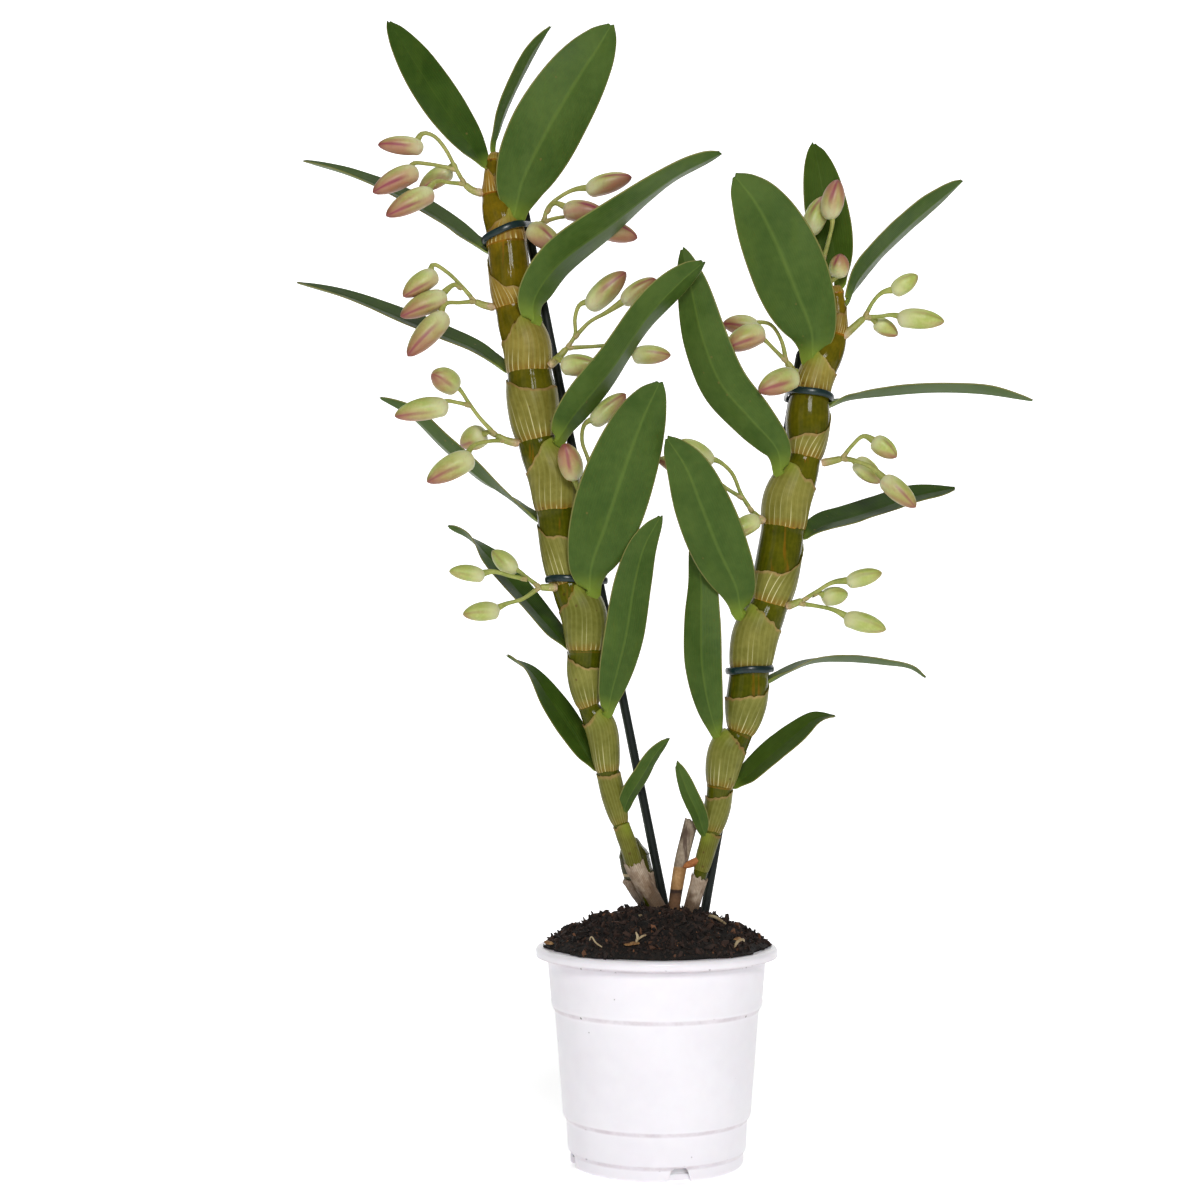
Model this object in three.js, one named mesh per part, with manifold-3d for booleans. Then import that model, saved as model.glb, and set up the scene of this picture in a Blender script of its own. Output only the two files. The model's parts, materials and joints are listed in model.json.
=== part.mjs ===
// A two-caned dendrobium in bud, tied to stakes in a stepped white nursery pot.
// Millimetres, +Z up. The origin is the middle of the pot's underside; the plant's
// front faces -Y. Leaves and sprays are numbered from the soil upwards: number k of a
// cane grows from its k-th internode (leaf) or from its (k + 4)-th node (spray).
import * as THREE from 'three';
import { mergeVertices } from 'three/addons/utils/BufferGeometryUtils.js';
import Module from 'manifold-3d';

const wasm = await Module();
wasm.setup();

// ---------------------------------------------------------------- driving dimensions

const CLEARANCE = 0.3; // kept between any two neighbouring pieces

const POT_SIDES = 28;
const POT_HEIGHT = 106;
const POT_WALL = 1.2;
const FOOT_RADIUS = 42.6;
const MOUTH_RADIUS = 53;
const LIP_RADIUS = 60;
const LIP_DROP = 4.8;
const PAD_RADIUS = 14; // flat pad under the middle of the pot
const FLOOR_LIFT = 1.8; // raised ring of floor between pad and foot
const FLOOR_TOP = FLOOR_LIFT + 1.5;
const DRAIN_HOLES = 8;
const DRAIN_RADIUS = 4;
const DRAIN_CIRCLE = 27;
const DRAIN_SIDES = 8;
const FOOT_ARCHES = 4;
const FOOT_ARCH_TURN = -77; // degrees from +X of the first arch
const FOOT_ARCH_WIDTH = 13;
const FOOT_ARCH_HEIGHT = 7.2;

const MIX_SIDES = 24;
const MIX_CROWN = 122; // height of the potting mix at the stems
const MIX_EDGE = 108.4; // height of the ragged edge that lies on the rim
const MIX_OVERHANG = 3.6; // mean reach of that edge past the mouth
const MIX_ROUGHNESS = 1.3;
const MIX_RINGS = [49, 39, 27, 13]; // radii at which the heaped surface is shaped
const BARK_CHIPS = 12;
const BARK_SEED = 41;

const STAKE_RADIUS = 2.25;
const STAKE_SIDES = 8;
const TIE_HEIGHT = 3;
const TIE_THICKNESS = 1.4;
const TIE_SLACK = 0.9;

const CANE_SIDES = 12; // every second side is a rib of the sheath
const NODE_LIP = 0.3; // how far a node's ring stands out
const SHEATH_STEP = 0.6; // how far the rim of a sheath stands off the bare cane
const SHEATH_TOP = 0.8; // part of an internode that its sheath covers
const RIB_DEPTH = 0.25;
const FRONT_TURN = 35; // degrees by which the two ranks of leaves are turned to the front

const LEAF_EDGE = 0.6; // thickness at the margin
const LEAF_MIDRIB = 1.1; // thickness along the middle
const LEAF_CHANNEL = 0.1; // depth of the channel, as a part of the width
const LEAF_NOTCH = 1.8; // depth of the notch in the tip
const LEAF_LOBE = 1.6; // how far one lobe of the tip outgrows the other
const LEAF_ROOT = 2.5; // how far the blade's foot reaches into the sheath

const STALK_RADIUS = 1.9;
const PEDICEL_RADIUS = 1.2;
const STEM_SIDES = 3;
const BUD_SIDES = 9; // three of them are the seams between the sepals

// Half width of a blade along its length, as a part of its greatest width.
const BLADE_OUTLINE = [
  [0, 0.13], [0.05, 0.17], [0.14, 0.31], [0.27, 0.44], [0.42, 0.5], [0.57, 0.49],
  [0.72, 0.43], [0.85, 0.33], [0.94, 0.21], [1, 0.1],
];

// Radius of a bud along its length, as a part of its greatest radius.
const BUD_OUTLINE = [[0.06, 0.56], [0.3, 0.96], [0.62, 0.92], [0.91, 0.4]];

const COLOURS = {
  pot: ['#f4f1f6', 0.35],
  mix: ['#2e1d14', 0.95],
  cane: ['#86863f', 0.4],
  leaf: ['#476022', 0.45],
  bud: ['#bdbd7c', 0.5],
  stake: ['#1b2320', 0.55],
  tie: ['#12312d', 0.35],
  bulb: ['#5c5c1c', 0.3],
  stub: ['#a09080', 0.85],
};

// A cane, node by node: the middle and radius of the node's ring, then the middle and
// radius of the swelling above it. The foot stands in the potting mix.
const LEFT_CANE = {
  front: 1, // its front rank of leaves points to +X
  foot: [[6, 12, 109, 3.2], [2, 12, 121, 3.4], [-7, 11, 137, 3.6]],
  nodes: [
    { ring: [-10, 11, 143, 3.7], swelling: [-13.5, 10.5, 154, 3.9] },
    { ring: [-17.5, 10, 165, 3.7], swelling: [-22, 9.5, 182.5, 5.6] },
    { ring: [-24, 8, 191.5, 5.5], swelling: [-27.5, 7.5, 213.5, 7.5] },
    { ring: [-33.5, 6, 224, 5], swelling: [-35.5, 5.5, 243.5, 8.8] },
    { ring: [-35, 5, 252, 9], swelling: [-36.5, 4.5, 271.5, 11.2] },
    { ring: [-44.5, 4, 286, 8], swelling: [-48, 3.5, 308, 10.2] },
    { ring: [-49.5, 3, 322.5, 10.5], swelling: [-51.5, 2.5, 340.5, 12.5] },
    { ring: [-59.5, 2, 357.5, 9.5], swelling: [-62, 1.5, 378.5, 12.6] },
    { ring: [-63.5, 1, 392, 11], swelling: [-65, 0.5, 406, 11.7] },
    { ring: [-72.5, 0, 425, 8], swelling: [-73.5, 0, 443, 10.3] },
    { ring: [-75, 0, 457, 10], swelling: [-77.5, 0, 469.5, 9.2] },
    { ring: [-81.5, 0, 482.5, 6], swelling: [-81.5, 0, 491, 5] },
    { ring: [-81, 0, 500, 3.7], swelling: [-81, 0, 504, 3] },
  ],
};
const RIGHT_CANE = {
  front: -1, // its front rank of leaves points to -X
  foot: [[15, 8, 109, 3], [17, 8, 121, 3], [21, 8, 135, 3]],
  nodes: [
    { ring: [22.5, 8, 141.5, 3.3], swelling: [25.5, 7.5, 152.5, 4] },
    { ring: [28, 7, 161.5, 4.5], swelling: [31, 6.5, 175, 6.2] },
    { ring: [32, 6, 184, 6.3], swelling: [36, 5.5, 202.5, 9] },
    { ring: [42, 5, 211, 6.2], swelling: [45.5, 4.5, 229, 10.2] },
    { ring: [47, 4, 242, 9.6], swelling: [50, 3.5, 260, 11.3] },
    { ring: [57, 3, 275.5, 9.2], swelling: [60.5, 2.5, 292.5, 11.3] },
    { ring: [64, 2, 313.5, 10.8], swelling: [66, 1.5, 328, 11.7] },
    { ring: [75, 1, 349, 7.8], swelling: [76.5, 0.5, 368, 11] },
    { ring: [78, 0, 381.5, 9.3], swelling: [84, 0, 397.5, 8.7] },
    { ring: [91.5, 0, 411, 4.7], swelling: [92, 0, 423, 4] },
    { ring: [91, 0, 432, 3.9], swelling: [90.5, 0, 436, 3] },
  ],
};

// A blade: its greatest width and its spine. Each point of the spine is x, y, z and the
// turn of the blade about the spine, in degrees: 0 shows its upper face to the front
// (-Y), and a positive turn brings that face round by the right hand about the spine.
const LEFT_LEAVES = [
  { width: 10, spine: [[-17, 7, 170.5, -175], [-14, 5, 178.5, -150], [-7.5, 1, 189.5, -145],
    [-1, -2, 200.5, -145], [6, -4, 208.5, -140]] },
  { width: 17, spine: [[-30, 11, 193, 35], [-42, 17, 210.5, 38], [-54, 22, 228, 45],
    [-64, 25, 242, 70], [-75.5, 27, 250, 105]] },
  { width: 21, spine: [[-25, -1, 221, -175], [-22, -4, 232.5, -165], [-15.5, -8, 258.5, -160],
    [-11, -10, 285.5, -160], [-6, -11, 304, -160], [2, -13, 318.5, -160]] },
  { width: 22, spine: [[-43, 9, 253.5, 40], [-54.5, 15, 265, 55], [-71, 22, 284, 60],
    [-84.5, 27, 299.5, 62], [-95, 30, 310.5, 90], [-106.5, 32, 317, 120]] },
  { width: 36, spine: [[-33.5, -6.5, 281, -176], [-32.5, -11, 293, -170], [-25, -18, 314.5, -165],
    [-16, -25, 341, -165], [-7, -30, 365, -165], [1, -33, 382, -165]] },
  { width: 22, spine: [[-59, 8, 317.5, 60], [-72.5, 15, 329, 85], [-89.5, 22, 341.5, 106],
    [-108, 28, 358, 106], [-125.5, 32, 375, 106], [-142.5, 35, 384.5, 108]] },
  { width: 28, spine: [[-49.5, -10, 356.5, -165], [-42, -15, 367.5, -135], [-23, -21, 390, -118],
    [-4.5, -26, 416, -118], [10, -29, 431, -130], [22.5, -31, 441.5, -140]] },
  { width: 25, spine: [[-75, 8, 393.5, 50], [-90.5, 15, 405.5, 62], [-109.5, 21, 414.5, 66],
    [-131.5, 26, 424.5, 66], [-158, 30, 436, 66], [-186, 33, 445, 70]] },
  { width: 30, spine: [[-61.5, -10, 416, -165], [-61, -14, 426, -150], [-50, -18, 442, -122],
    [-22, -21, 463, -110], [-3.5, -23, 477, -104], [12, -24, 487.5, -99], [31.5, -25, 497, -110]] },
  { width: 26, spine: [[-84.5, 5, 454, 50], [-105, 13, 470, 62], [-131.5, 20, 487, 66],
    [-158, 26, 500, 66], [-182.5, 30, 508.5, 70]] },
  { width: 36, spine: [[-71.5, -7, 469.5, -175], [-67, -12, 486, -165], [-54.5, -17, 510.5, -160],
    [-39.5, -21, 535, -160], [-28, -24, 552, -160], [-22.5, -26, 561, -160]] },
  { width: 22, spine: [[-86, 1, 497, 35], [-95, 5, 510.5, 25], [-109.5, 9, 532.5, 15],
    [-125, 13, 557.5, 15], [-137, 15, 577, 20]] },
  { width: 13, spine: [[-81.5, 0, 505, -100], [-78.5, -1, 520, -105], [-71.5, -3, 536.5, -108],
    [-62.5, -4, 554.5, -108], [-53, -5, 567.5, -100]] },
];
const RIGHT_LEAVES = [
  { width: 9, spine: [[25, 4, 159.5, 178], [21, 0, 170.5, 160], [15.5, -4, 182.5, 155],
    [10, -8, 197, 155]] },
  { width: 18, spine: [[39.5, 10, 184.5, -30], [49, 15, 191, -48], [61, 19, 201, -52],
    [73, 23, 210.5, -54], [82.5, 25, 217.5, -60], [92.5, 26, 219, -75]] },
  { width: 19, spine: [[31.5, 0, 209.5, 178], [27, -3, 221.5, 165], [23, -5, 243.5, 160],
    [22.5, -4, 267.5, 160], [22.5, -2, 288, 160], [18.5, -1, 308, 160]] },
  { width: 20, spine: [[56, 8, 236, -75], [66, 13, 241, -82], [80, 19, 246.5, -90],
    [98, 26, 247.5, -92], [119, 32, 246, -92], [133, 35, 244, -90], [141, 37, 239, -85]] },
  { width: 29, spine: [[42.5, -6, 271, 178], [39.5, -11, 283, 170], [30.5, -17, 301.5, 165],
    [21.5, -23, 323, 165], [14, -27, 341, 165], [4.5, -30, 355, 165]] },
  { width: 26, spine: [[74.5, 7, 309, -45], [85, 13, 315.5, -58], [101, 20, 320.5, -62],
    [118.5, 26, 326.5, -62], [135.5, 30, 332.5, -62], [156.5, 34, 337, -60]] },
  { width: 25, spine: [[62.5, -8, 341, 178], [60, -12, 351.5, 165], [47.5, -14, 366, 155],
    [32.5, -15, 383.5, 150], [23, -15, 407, 150], [17.5, -14, 432, 152], [13, -13, 452, 155]] },
  { width: 26, spine: [[86.5, 5, 375, -62], [97.5, 11, 380, -82], [118, 18, 383.5, -90],
    [145, 25, 386.5, -90], [172, 31, 386.5, -90], [198, 36, 383.5, -85]] },
  { width: 37, spine: [[78.5, -7, 398.5, 175], [77.5, -11, 410.5, 168], [69, -17, 430.5, 165],
    [59, -22, 453, 165], [48.5, -26, 472, 165], [38, -29, 484.5, 165]] },
  { width: 22, spine: [[96.5, 3, 427, -90], [102.5, 7, 440, -112], [115, 12, 455.5, -113],
    [132.5, 17, 473, -113], [159.5, 22, 496, -110]] },
  { width: 22, spine: [[92.5, 1, 437, -10], [92, 6, 449, -10], [88.5, 12, 474, -5],
    [85, 16, 498, 0], [82.5, 19, 514.5, 0]] },
];

// A spray: the stalk from the node to its fork, and its buds. Each bud hangs on a stem
// that leaves the stalk or another stem, and runs from its heel (the short spur) to its tip.
const LEFT_SPRAYS = [
  { stalk: [[-49.5, -4, 283.5], [-54, -5, 283.5], [-58, -6, 283.5]], buds: [
    { stem: [[-58, -6, 283.5], [-64.5, -6, 288.5], [-69, -5, 292]],
      heel: [-70, -4, 290.5], tip: [-82, -2, 302], radius: 4.8 },
    { stem: [[-64.5, -6, 287.5], [-72.5, -9, 289], [-81, -11, 291]],
      heel: [-85, -12, 288.5], tip: [-102.5, -14, 291], radius: 4.1 },
    { stem: [[-58, -6, 283.5], [-66.5, -9, 277.5], [-74.5, -11, 275]],
      heel: [-77.5, -13, 271.5], tip: [-95.5, -16, 269.5], radius: 4.8 },
  ] },
  { stalk: [[-39.5, -5, 326], [-36.5, -7, 328.5], [-35.5, -8, 329.5]], buds: [
    { stem: [[-36.5, -7, 328.5], [-39, -10, 332.5]],
      heel: [-40.5, -12, 336.5], tip: [-45.5, -23, 353], radius: 6 },
    { stem: [[-35.5, -8, 329.5], [-32, -5, 338], [-34, -4, 348], [-37, -4, 357], [-35.5, -5, 365.5]],
      heel: [-32, -5, 365], tip: [-15, -5, 380.5], radius: 5.2 },
  ] },
  { stalk: [[-68.5, -5, 355.5], [-75, -6, 357], [-80, -7, 359.5]], buds: [
    { stem: [[-80, -7, 359.5], [-88, -9, 368], [-93.5, -10, 375.5], [-98, -11, 382]],
      heel: [-99.5, -9, 383], tip: [-110.5, -21, 388], radius: 6.2 },
    { stem: [[-92.5, -10, 374], [-98.5, -12, 375], [-104.5, -14, 375.5]],
      heel: [-103, -14, 373], tip: [-129.5, -17, 367.5], radius: 5.7 },
    { stem: [[-75, -6, 357], [-83.5, -10, 356], [-91, -14, 353]],
      heel: [-90.5, -15, 347.5], tip: [-113, -20, 334.5], radius: 6.2 },
    { stem: [[-80, -7, 359.5], [-84, -3, 361.5]],
      heel: [-85.5, 2, 361.5], tip: [-98.5, 7, 356], radius: 6.2 },
  ] },
  { stalk: [[-53.5, -5, 394.5], [-49, -6, 398.5], [-44.5, -6, 403.5]], buds: [
    { stem: [[-44.5, -6, 403.5], [-40.5, -6, 410], [-40.5, -7, 418.5], [-38, -8, 425]],
      heel: [-34, -9, 422.5], tip: [-15, -12, 440.5], radius: 6 },
    { stem: [[-41, -6, 408.5], [-33, -5, 417], [-25, -5, 421.5]],
      heel: [-17, -6, 426], tip: [0, -8, 438], radius: 4.8 },
    { stem: [[-51.5, -6, 396.5], [-50, -9, 398]],
      heel: [-47.5, -12, 393.5], tip: [-27.5, -17, 392], radius: 5.6 },
    { stem: [[-44.5, -6, 403.5], [-33, -4, 404.5], [-22, -3, 405]],
      heel: [-12, -3, 400], tip: [7.5, -5, 400], radius: 4.9 },
  ] },
  { stalk: [[-81, -1, 425], [-86.5, -2, 426], [-91, -4, 427.5]], buds: [
    { stem: [[-91, -4, 427.5], [-97.5, -5, 435], [-104.5, -7, 441.5], [-111.5, -9, 445]],
      heel: [-109.5, -9, 440.5], tip: [-126, -13, 428], radius: 5.3 },
    { stem: [[-97.5, -5, 434], [-101, -8, 435]],
      heel: [-104.5, -10, 429], tip: [-127, -15, 417.5], radius: 5.6 },
    { stem: [[-91, -4, 427.5], [-98, -8, 426], [-105, -12, 424.5]],
      heel: [-104, -14, 419], tip: [-123, -19, 397], radius: 6 },
  ] },
  { stalk: [[-65, -4, 461], [-60, -5, 464.5], [-56.5, -5, 467.5]], buds: [
    { stem: [[-56.5, -5, 467.5], [-54, -4, 475.5], [-49, -4, 480], [-41, -5, 484]],
      heel: [-35, -6, 483], tip: [-12, -8, 489.5], radius: 5.2 },
    { stem: [[-55, -4, 472.5], [-51, -7, 476.5]],
      heel: [-46.5, -9, 472.5], tip: [-24.5, -12, 469], radius: 5.6 },
    { stem: [[-60, -5, 464.5], [-61, -9, 465]],
      heel: [-63.5, -11, 463], tip: [-47.5, -18, 450.5], radius: 6 },
    { stem: [[-56.5, -5, 467.5], [-49, -2, 470.5], [-40.5, 0, 471.5], [-32, 1, 470]],
      heel: [-29, 1, 465.5], tip: [-9, 2, 461], radius: 5.2 },
  ] },
  { stalk: [[-87, -1, 483], [-92.5, -2, 484.5], [-96.5, -3, 487.5]], buds: [
    { stem: [[-96.5, -3, 487.5], [-101, -5, 495.5], [-106, -7, 504.5], [-111.5, -8, 510.5],
      [-117, -9, 511.5]], heel: [-116.5, -9, 504], tip: [-139, -13, 504.5], radius: 4.7 },
    { stem: [[-100.5, -4, 494.5], [-107, -6, 495.5], [-114.5, -9, 496], [-121.5, -11, 495.5]],
      heel: [-119, -11, 492], tip: [-141, -16, 479.5], radius: 5.5 },
    { stem: [[-96.5, -3, 487.5], [-103.5, -7, 487], [-110, -11, 486.5]],
      heel: [-111, -13, 480.5], tip: [-134, -19, 467], radius: 5.5 },
    { stem: [[-100.5, -4, 494.5], [-102.5, 3, 499]],
      heel: [-103.5, 7, 497.5], tip: [-120.5, 11, 488], radius: 5 },
  ] },
];
const RIGHT_SPRAYS = [
  { stalk: [[65, -3, 274], [69, -4, 275.5], [73, -5, 277]], buds: [
    { stem: [[73, -5, 277], [80, -6, 281.5], [88, -6, 286]],
      heel: [94.5, -7, 285.5], tip: [112, -9, 290.5], radius: 4.4 },
    { stem: [[77.5, -6, 279.5], [81, -3, 281]],
      heel: [83, -1, 278], tip: [96.5, 2, 280.5], radius: 4.8 },
    { stem: [[71.5, -5, 275.5], [80, -8, 274], [88, -10, 272]],
      heel: [92.5, -11, 268], tip: [113, -14, 262], radius: 4.9 },
  ] },
  { stalk: [[54, -4, 316.5], [50.5, -5, 318.5], [48, -6, 321]], buds: [
    { stem: [[50.5, -5, 318.5], [49, -8, 319.5]],
      heel: [51, -9, 317.5], tip: [35, -13, 307.5], radius: 4.9 },
    { stem: [[48, -6, 321], [42.5, -5, 330], [38, -5, 340.5], [31.5, -5, 346.5]],
      heel: [28.5, -5, 345.5], tip: [12, -6, 357], radius: 4.6 },
    { stem: [[43.5, -5, 328], [37, -4, 332], [31, -4, 336]],
      heel: [25, -4, 338.5], tip: [0.5, -6, 347.5], radius: 5 },
  ] },
  { stalk: [[83, -3, 346], [88.5, -4, 347], [93, -5, 348]], buds: [
    { stem: [[93, -5, 348], [98, -6, 354.5], [103.5, -7, 359]],
      heel: [108, -7, 357], tip: [119.5, -10, 348], radius: 4.9 },
    { stem: [[93, -5, 348], [97.5, -2, 348]],
      heel: [100, -1, 347.5], tip: [113, 2, 336.5], radius: 5.2 },
    { stem: [[93, -5, 348], [100.5, -8, 346], [107, -10, 343]],
      heel: [112, -11, 337.5], tip: [128, -15, 322.5], radius: 5.2 },
  ] },
  { stalk: [[71, -3, 388], [67.5, -4, 394], [65.5, -4, 397]], buds: [
    { stem: [[65.5, -4, 397], [59.5, -6, 402.5], [54.5, -8, 407]],
      heel: [54, -9, 411.5], tip: [34.5, -13, 402], radius: 6.2 },
    { stem: [[65.5, -4, 397], [63, -2, 408.5], [58, 0, 416.5], [52.5, 2, 418]],
      heel: [52, 3, 415.5], tip: [34, 4, 417.5], radius: 5.2 },
    { stem: [[69, -5, 390.5], [70, -9, 391.5]],
      heel: [70, -13, 388], tip: [50, -23, 379], radius: 6.3 },
  ] },
  { stalk: [[94, -2, 409.5], [100, -3, 415], [105, -4, 419.5]], buds: [
    { stem: [[105, -4, 419.5], [109, -5, 427], [113.5, -6, 431.5]],
      heel: [118.5, -7, 431], tip: [131, -9, 439.5], radius: 4.6 },
    { stem: [[105, -4, 419.5], [112.5, -6, 419.5], [118, -7, 420]],
      heel: [120.5, -8, 418], tip: [143.5, -12, 415.5], radius: 5.2 },
    { stem: [[105, -4, 419.5], [109, -1, 419]],
      heel: [110.5, 1, 418], tip: [122.5, 3, 411.5], radius: 4.2 },
  ] },
  { stalk: [[87.5, -2, 433], [85.5, -3, 440], [84, -4, 447.5]], buds: [
    { stem: [[84, -4, 447.5], [82, -4, 455], [78.5, -3, 461.5]],
      heel: [77, -2, 461.5], tip: [85.5, -1, 481.5], radius: 5.8 },
    { stem: [[84, -4, 447.5], [86.5, -7, 457], [88.5, -8, 467]],
      heel: [86.5, -8, 468], tip: [91, -11, 487.5], radius: 5.7 },
    { stem: [[86.5, -3, 437], [89, -6, 438]],
      heel: [91, -7, 438.5], tip: [92.5, -9, 450.5], radius: 5.2 },
  ] },
];

// Straight stakes, from the foot in the mix to the rounded top.
const LEFT_STAKE = [[12.5, 24, 85], [-68, 8, 484]];
const RIGHT_STAKE = [[18.5, 14.5, 85], [75.5, 21, 407]];

// A tie: the node that it is drawn round, its height there, and its tilt about Y.
const TIES = {
  tie_left_lower: { cane: LEFT_CANE, node: 5, height: 288, tilt: 0, stake: LEFT_STAKE },
  tie_left_upper: { cane: LEFT_CANE, node: 10, height: 462.8, tilt: 22, stake: LEFT_STAKE },
  tie_right_lower: { cane: RIGHT_CANE, node: 4, height: 242.5, tilt: 3, stake: RIGHT_STAKE },
  tie_right_upper: { cane: RIGHT_CANE, node: 8, height: 381, tilt: -9, stake: RIGHT_STAKE },
};

// The old back bulb behind the left cane, and the stub of a cane that was cut off.
const OLD_BULB = [[2, 26, 110, 3], [-3, 26, 124, 5], [-7, 24, 134, 7], [-10, 23, 144, 7.6],
  [-11, 23, 152, 6.4], [-10, 23, 157.5, 3.4]];
const DRY_STUB = [[7, 5, 110, 3], [9, 6, 124, 3], [12.5, 8, 145, 3.2], [18, 10, 167, 3.4]];

// ---------------------------------------------------------------- shapes

const vector = ([x, y, z]) => new THREE.Vector3(x, y, z);
const radians = THREE.MathUtils.degToRad;
const lerp = THREE.MathUtils.lerp;

/** Turns a closed geometry into a solid; only the positions matter. */
function solidOf(geometry) {
  const bare = geometry.clone();
  for (const name of ['normal', 'uv']) {
    if (bare.hasAttribute(name)) bare.deleteAttribute(name);
  }
  const merged = mergeVertices(bare, 1e-4);
  return new wasm.Manifold(new wasm.Mesh({
    numProp: 3,
    vertProperties: new Float32Array(merged.getAttribute('position').array),
    triVerts: new Uint32Array(merged.index.array),
  }));
}

/** Keeps the largest body, so that a cut leaves no loose scrap. */
function largestBody(solid) {
  const bodies = solid.decompose();
  return bodies.reduce((best, body) => (body.volume() > best.volume() ? body : best));
}

function meshOf(name, solid, [colour, roughness]) {
  const raw = largestBody(solid).getMesh();
  const geometry = new THREE.BufferGeometry();
  geometry.setAttribute('position', new THREE.BufferAttribute(new Float32Array(raw.vertProperties), 3));
  geometry.setIndex(new THREE.BufferAttribute(new Uint32Array(raw.triVerts), 1));
  geometry.computeVertexNormals();
  const material = new THREE.MeshStandardMaterial({ color: colour, roughness, metalness: 0 });
  const mesh = new THREE.Mesh(geometry, material);
  mesh.name = name;
  return mesh;
}

/**
 * Closed skin over a row of sections; each goes right-handed round the way ahead. The
 * strips listed in crossed are cut along their other diagonal.
 */
function loft(sections, start, end, crossed = []) {
  const count = sections[0].length;
  const points = [...sections.flat(), start, end];
  const index = [];
  for (let k = 0; k + 1 < sections.length; k += 1) {
    for (let j = 0; j < count; j += 1) {
      const next = (j + 1) % count;
      const [a, b] = [k * count + j, k * count + next];
      const [c, d] = [a + count, b + count];
      if (crossed.includes(j)) index.push(a, b, c, b, d, c);
      else index.push(a, b, d, a, d, c);
    }
  }
  const last = (sections.length - 1) * count;
  const [startIndex, endIndex] = [points.length - 2, points.length - 1];
  for (let j = 0; j < count; j += 1) {
    const next = (j + 1) % count;
    index.push(startIndex, next, j, endIndex, last + j, last + next);
  }
  const geometry = new THREE.BufferGeometry();
  const flat = points.flatMap((p) => [p.x, p.y, p.z]);
  geometry.setAttribute('position', new THREE.Float32BufferAttribute(flat, 3));
  geometry.setIndex(index);
  return solidOf(geometry);
}

/** The two directions across a line: side lies near +X on an upright line, back near +Y. */
function across(tangent) {
  const hint = Math.abs(tangent.y) > 0.9 ? new THREE.Vector3(1, 0, 0) : new THREE.Vector3(0, 1, 0);
  const side = hint.cross(tangent).normalize();
  return { side, back: tangent.clone().cross(side) };
}

/** Ring of points round a centre; reach(angle, j) gives the radius and the lift along the line. */
function ringAt(centre, tangent, sides, reach) {
  const { side, back } = across(tangent);
  return Array.from({ length: sides }, (_, j) => {
    const angle = (2 * Math.PI * j) / sides;
    const [radius, lift] = reach(angle, j);
    return centre.clone()
      .addScaledVector(side, radius * Math.cos(angle))
      .addScaledVector(back, radius * Math.sin(angle))
      .addScaledVector(tangent, lift);
  });
}

/** Round rod through points of x, y, z and radius. */
function rod(points, sides, steps, grow = 0) {
  const curve = new THREE.CatmullRomCurve3(points.map(vector), false, 'centripetal');
  const sections = [];
  for (let k = 0; k <= steps; k += 1) {
    const t = k / steps;
    const place = t * (points.length - 1);
    const lower = Math.min(Math.floor(place), points.length - 2);
    const radius = lerp(points[lower][3], points[lower + 1][3], place - lower) + grow;
    sections.push(ringAt(curve.getPoint(t), curve.getTangent(t), sides, () => [radius, 0]));
  }
  const start = curve.getPoint(0).addScaledVector(curve.getTangent(0), -CLEARANCE - grow);
  const end = curve.getPoint(1).addScaledVector(curve.getTangent(1), points.at(-1)[3] * 0.4 + grow);
  return loft(sections, start, end);
}

// ---------------------------------------------------------------- canes

/** Smooth rise from a node's radius to the swelling's and down to the next node's. */
function swellingRadius(node, next, place, middle) {
  const [low, high, top] = [node.ring[3], node.swelling[3], next.ring[3]];
  if (place < middle) return low + (high - low) * Math.sin((Math.PI / 2) * (place / middle));
  return top + (high - top) * Math.cos((Math.PI / 2) * ((place - middle) / (1 - middle)));
}

/** One cane: node rings, ribbed sheaths with a slanting rim, and the bare cane above each rim. */
function caneSolid({ front, foot, nodes }, grow = 0) {
  const line = [...foot, ...nodes.flatMap(({ ring, swelling }) => [ring, swelling])];
  const curve = new THREE.CatmullRomCurve3(line.map(vector), false, 'centripetal');
  const last = line.length - 1;
  const sections = [];
  const addRing = (place, radius, { rib = 0, slant = 0, high = 0 } = {}) => {
    const t = place / last;
    const reach = (angle, j) => [
      radius + grow + (j % 2 ? 0 : rib),
      slant * Math.cos(angle - high),
    ];
    sections.push(ringAt(curve.getPoint(t), curve.getTangent(t), CANE_SIDES, reach));
  };
  for (let k = 0; k < foot.length; k += 1) addRing(k, foot[k][3]);
  nodes.forEach((node, k) => {
    const start = foot.length + 2 * k;
    const next = nodes[k + 1];
    addRing(start, node.ring[3] + NODE_LIP);
    if (!next) {
      addRing(start + 0.5, node.swelling[3] + SHEATH_STEP);
      addRing(start + 1, node.swelling[3] * 0.8);
      return;
    }
    const frontRank = k % 2 === 0;
    const rank = frontRank ? 1 : -1;
    const high = Math.atan2(-rank * Math.sin(radians(FRONT_TURN)), rank * front);
    const length = next.ring[2] - node.ring[2];
    const middle = (node.swelling[2] - node.ring[2]) / length;
    const at = (place) => start + (place < middle ? place / middle : 1 + (place - middle) / (1 - middle));
    const radius = (place) => swellingRadius(node, next, place, middle);
    const slant = Math.min(0.12 * length, 3.2);
    addRing(at(0.1), radius(0.12) + 0.1, { rib: RIB_DEPTH });
    addRing(at(0.4), radius(0.4) + 0.2, { rib: RIB_DEPTH });
    addRing(at(SHEATH_TOP), radius(SHEATH_TOP) + SHEATH_STEP, { slant, high });
    addRing(at(SHEATH_TOP + 0.015), radius(SHEATH_TOP), { slant, high });
    addRing(at(0.95), radius(0.95));
  });
  const begin = curve.getPoint(0).addScaledVector(curve.getTangent(0), -grow);
  const end = curve.getPoint(1).addScaledVector(curve.getTangent(1), 1 + grow);
  return loft(sections, begin, end);
}

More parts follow.
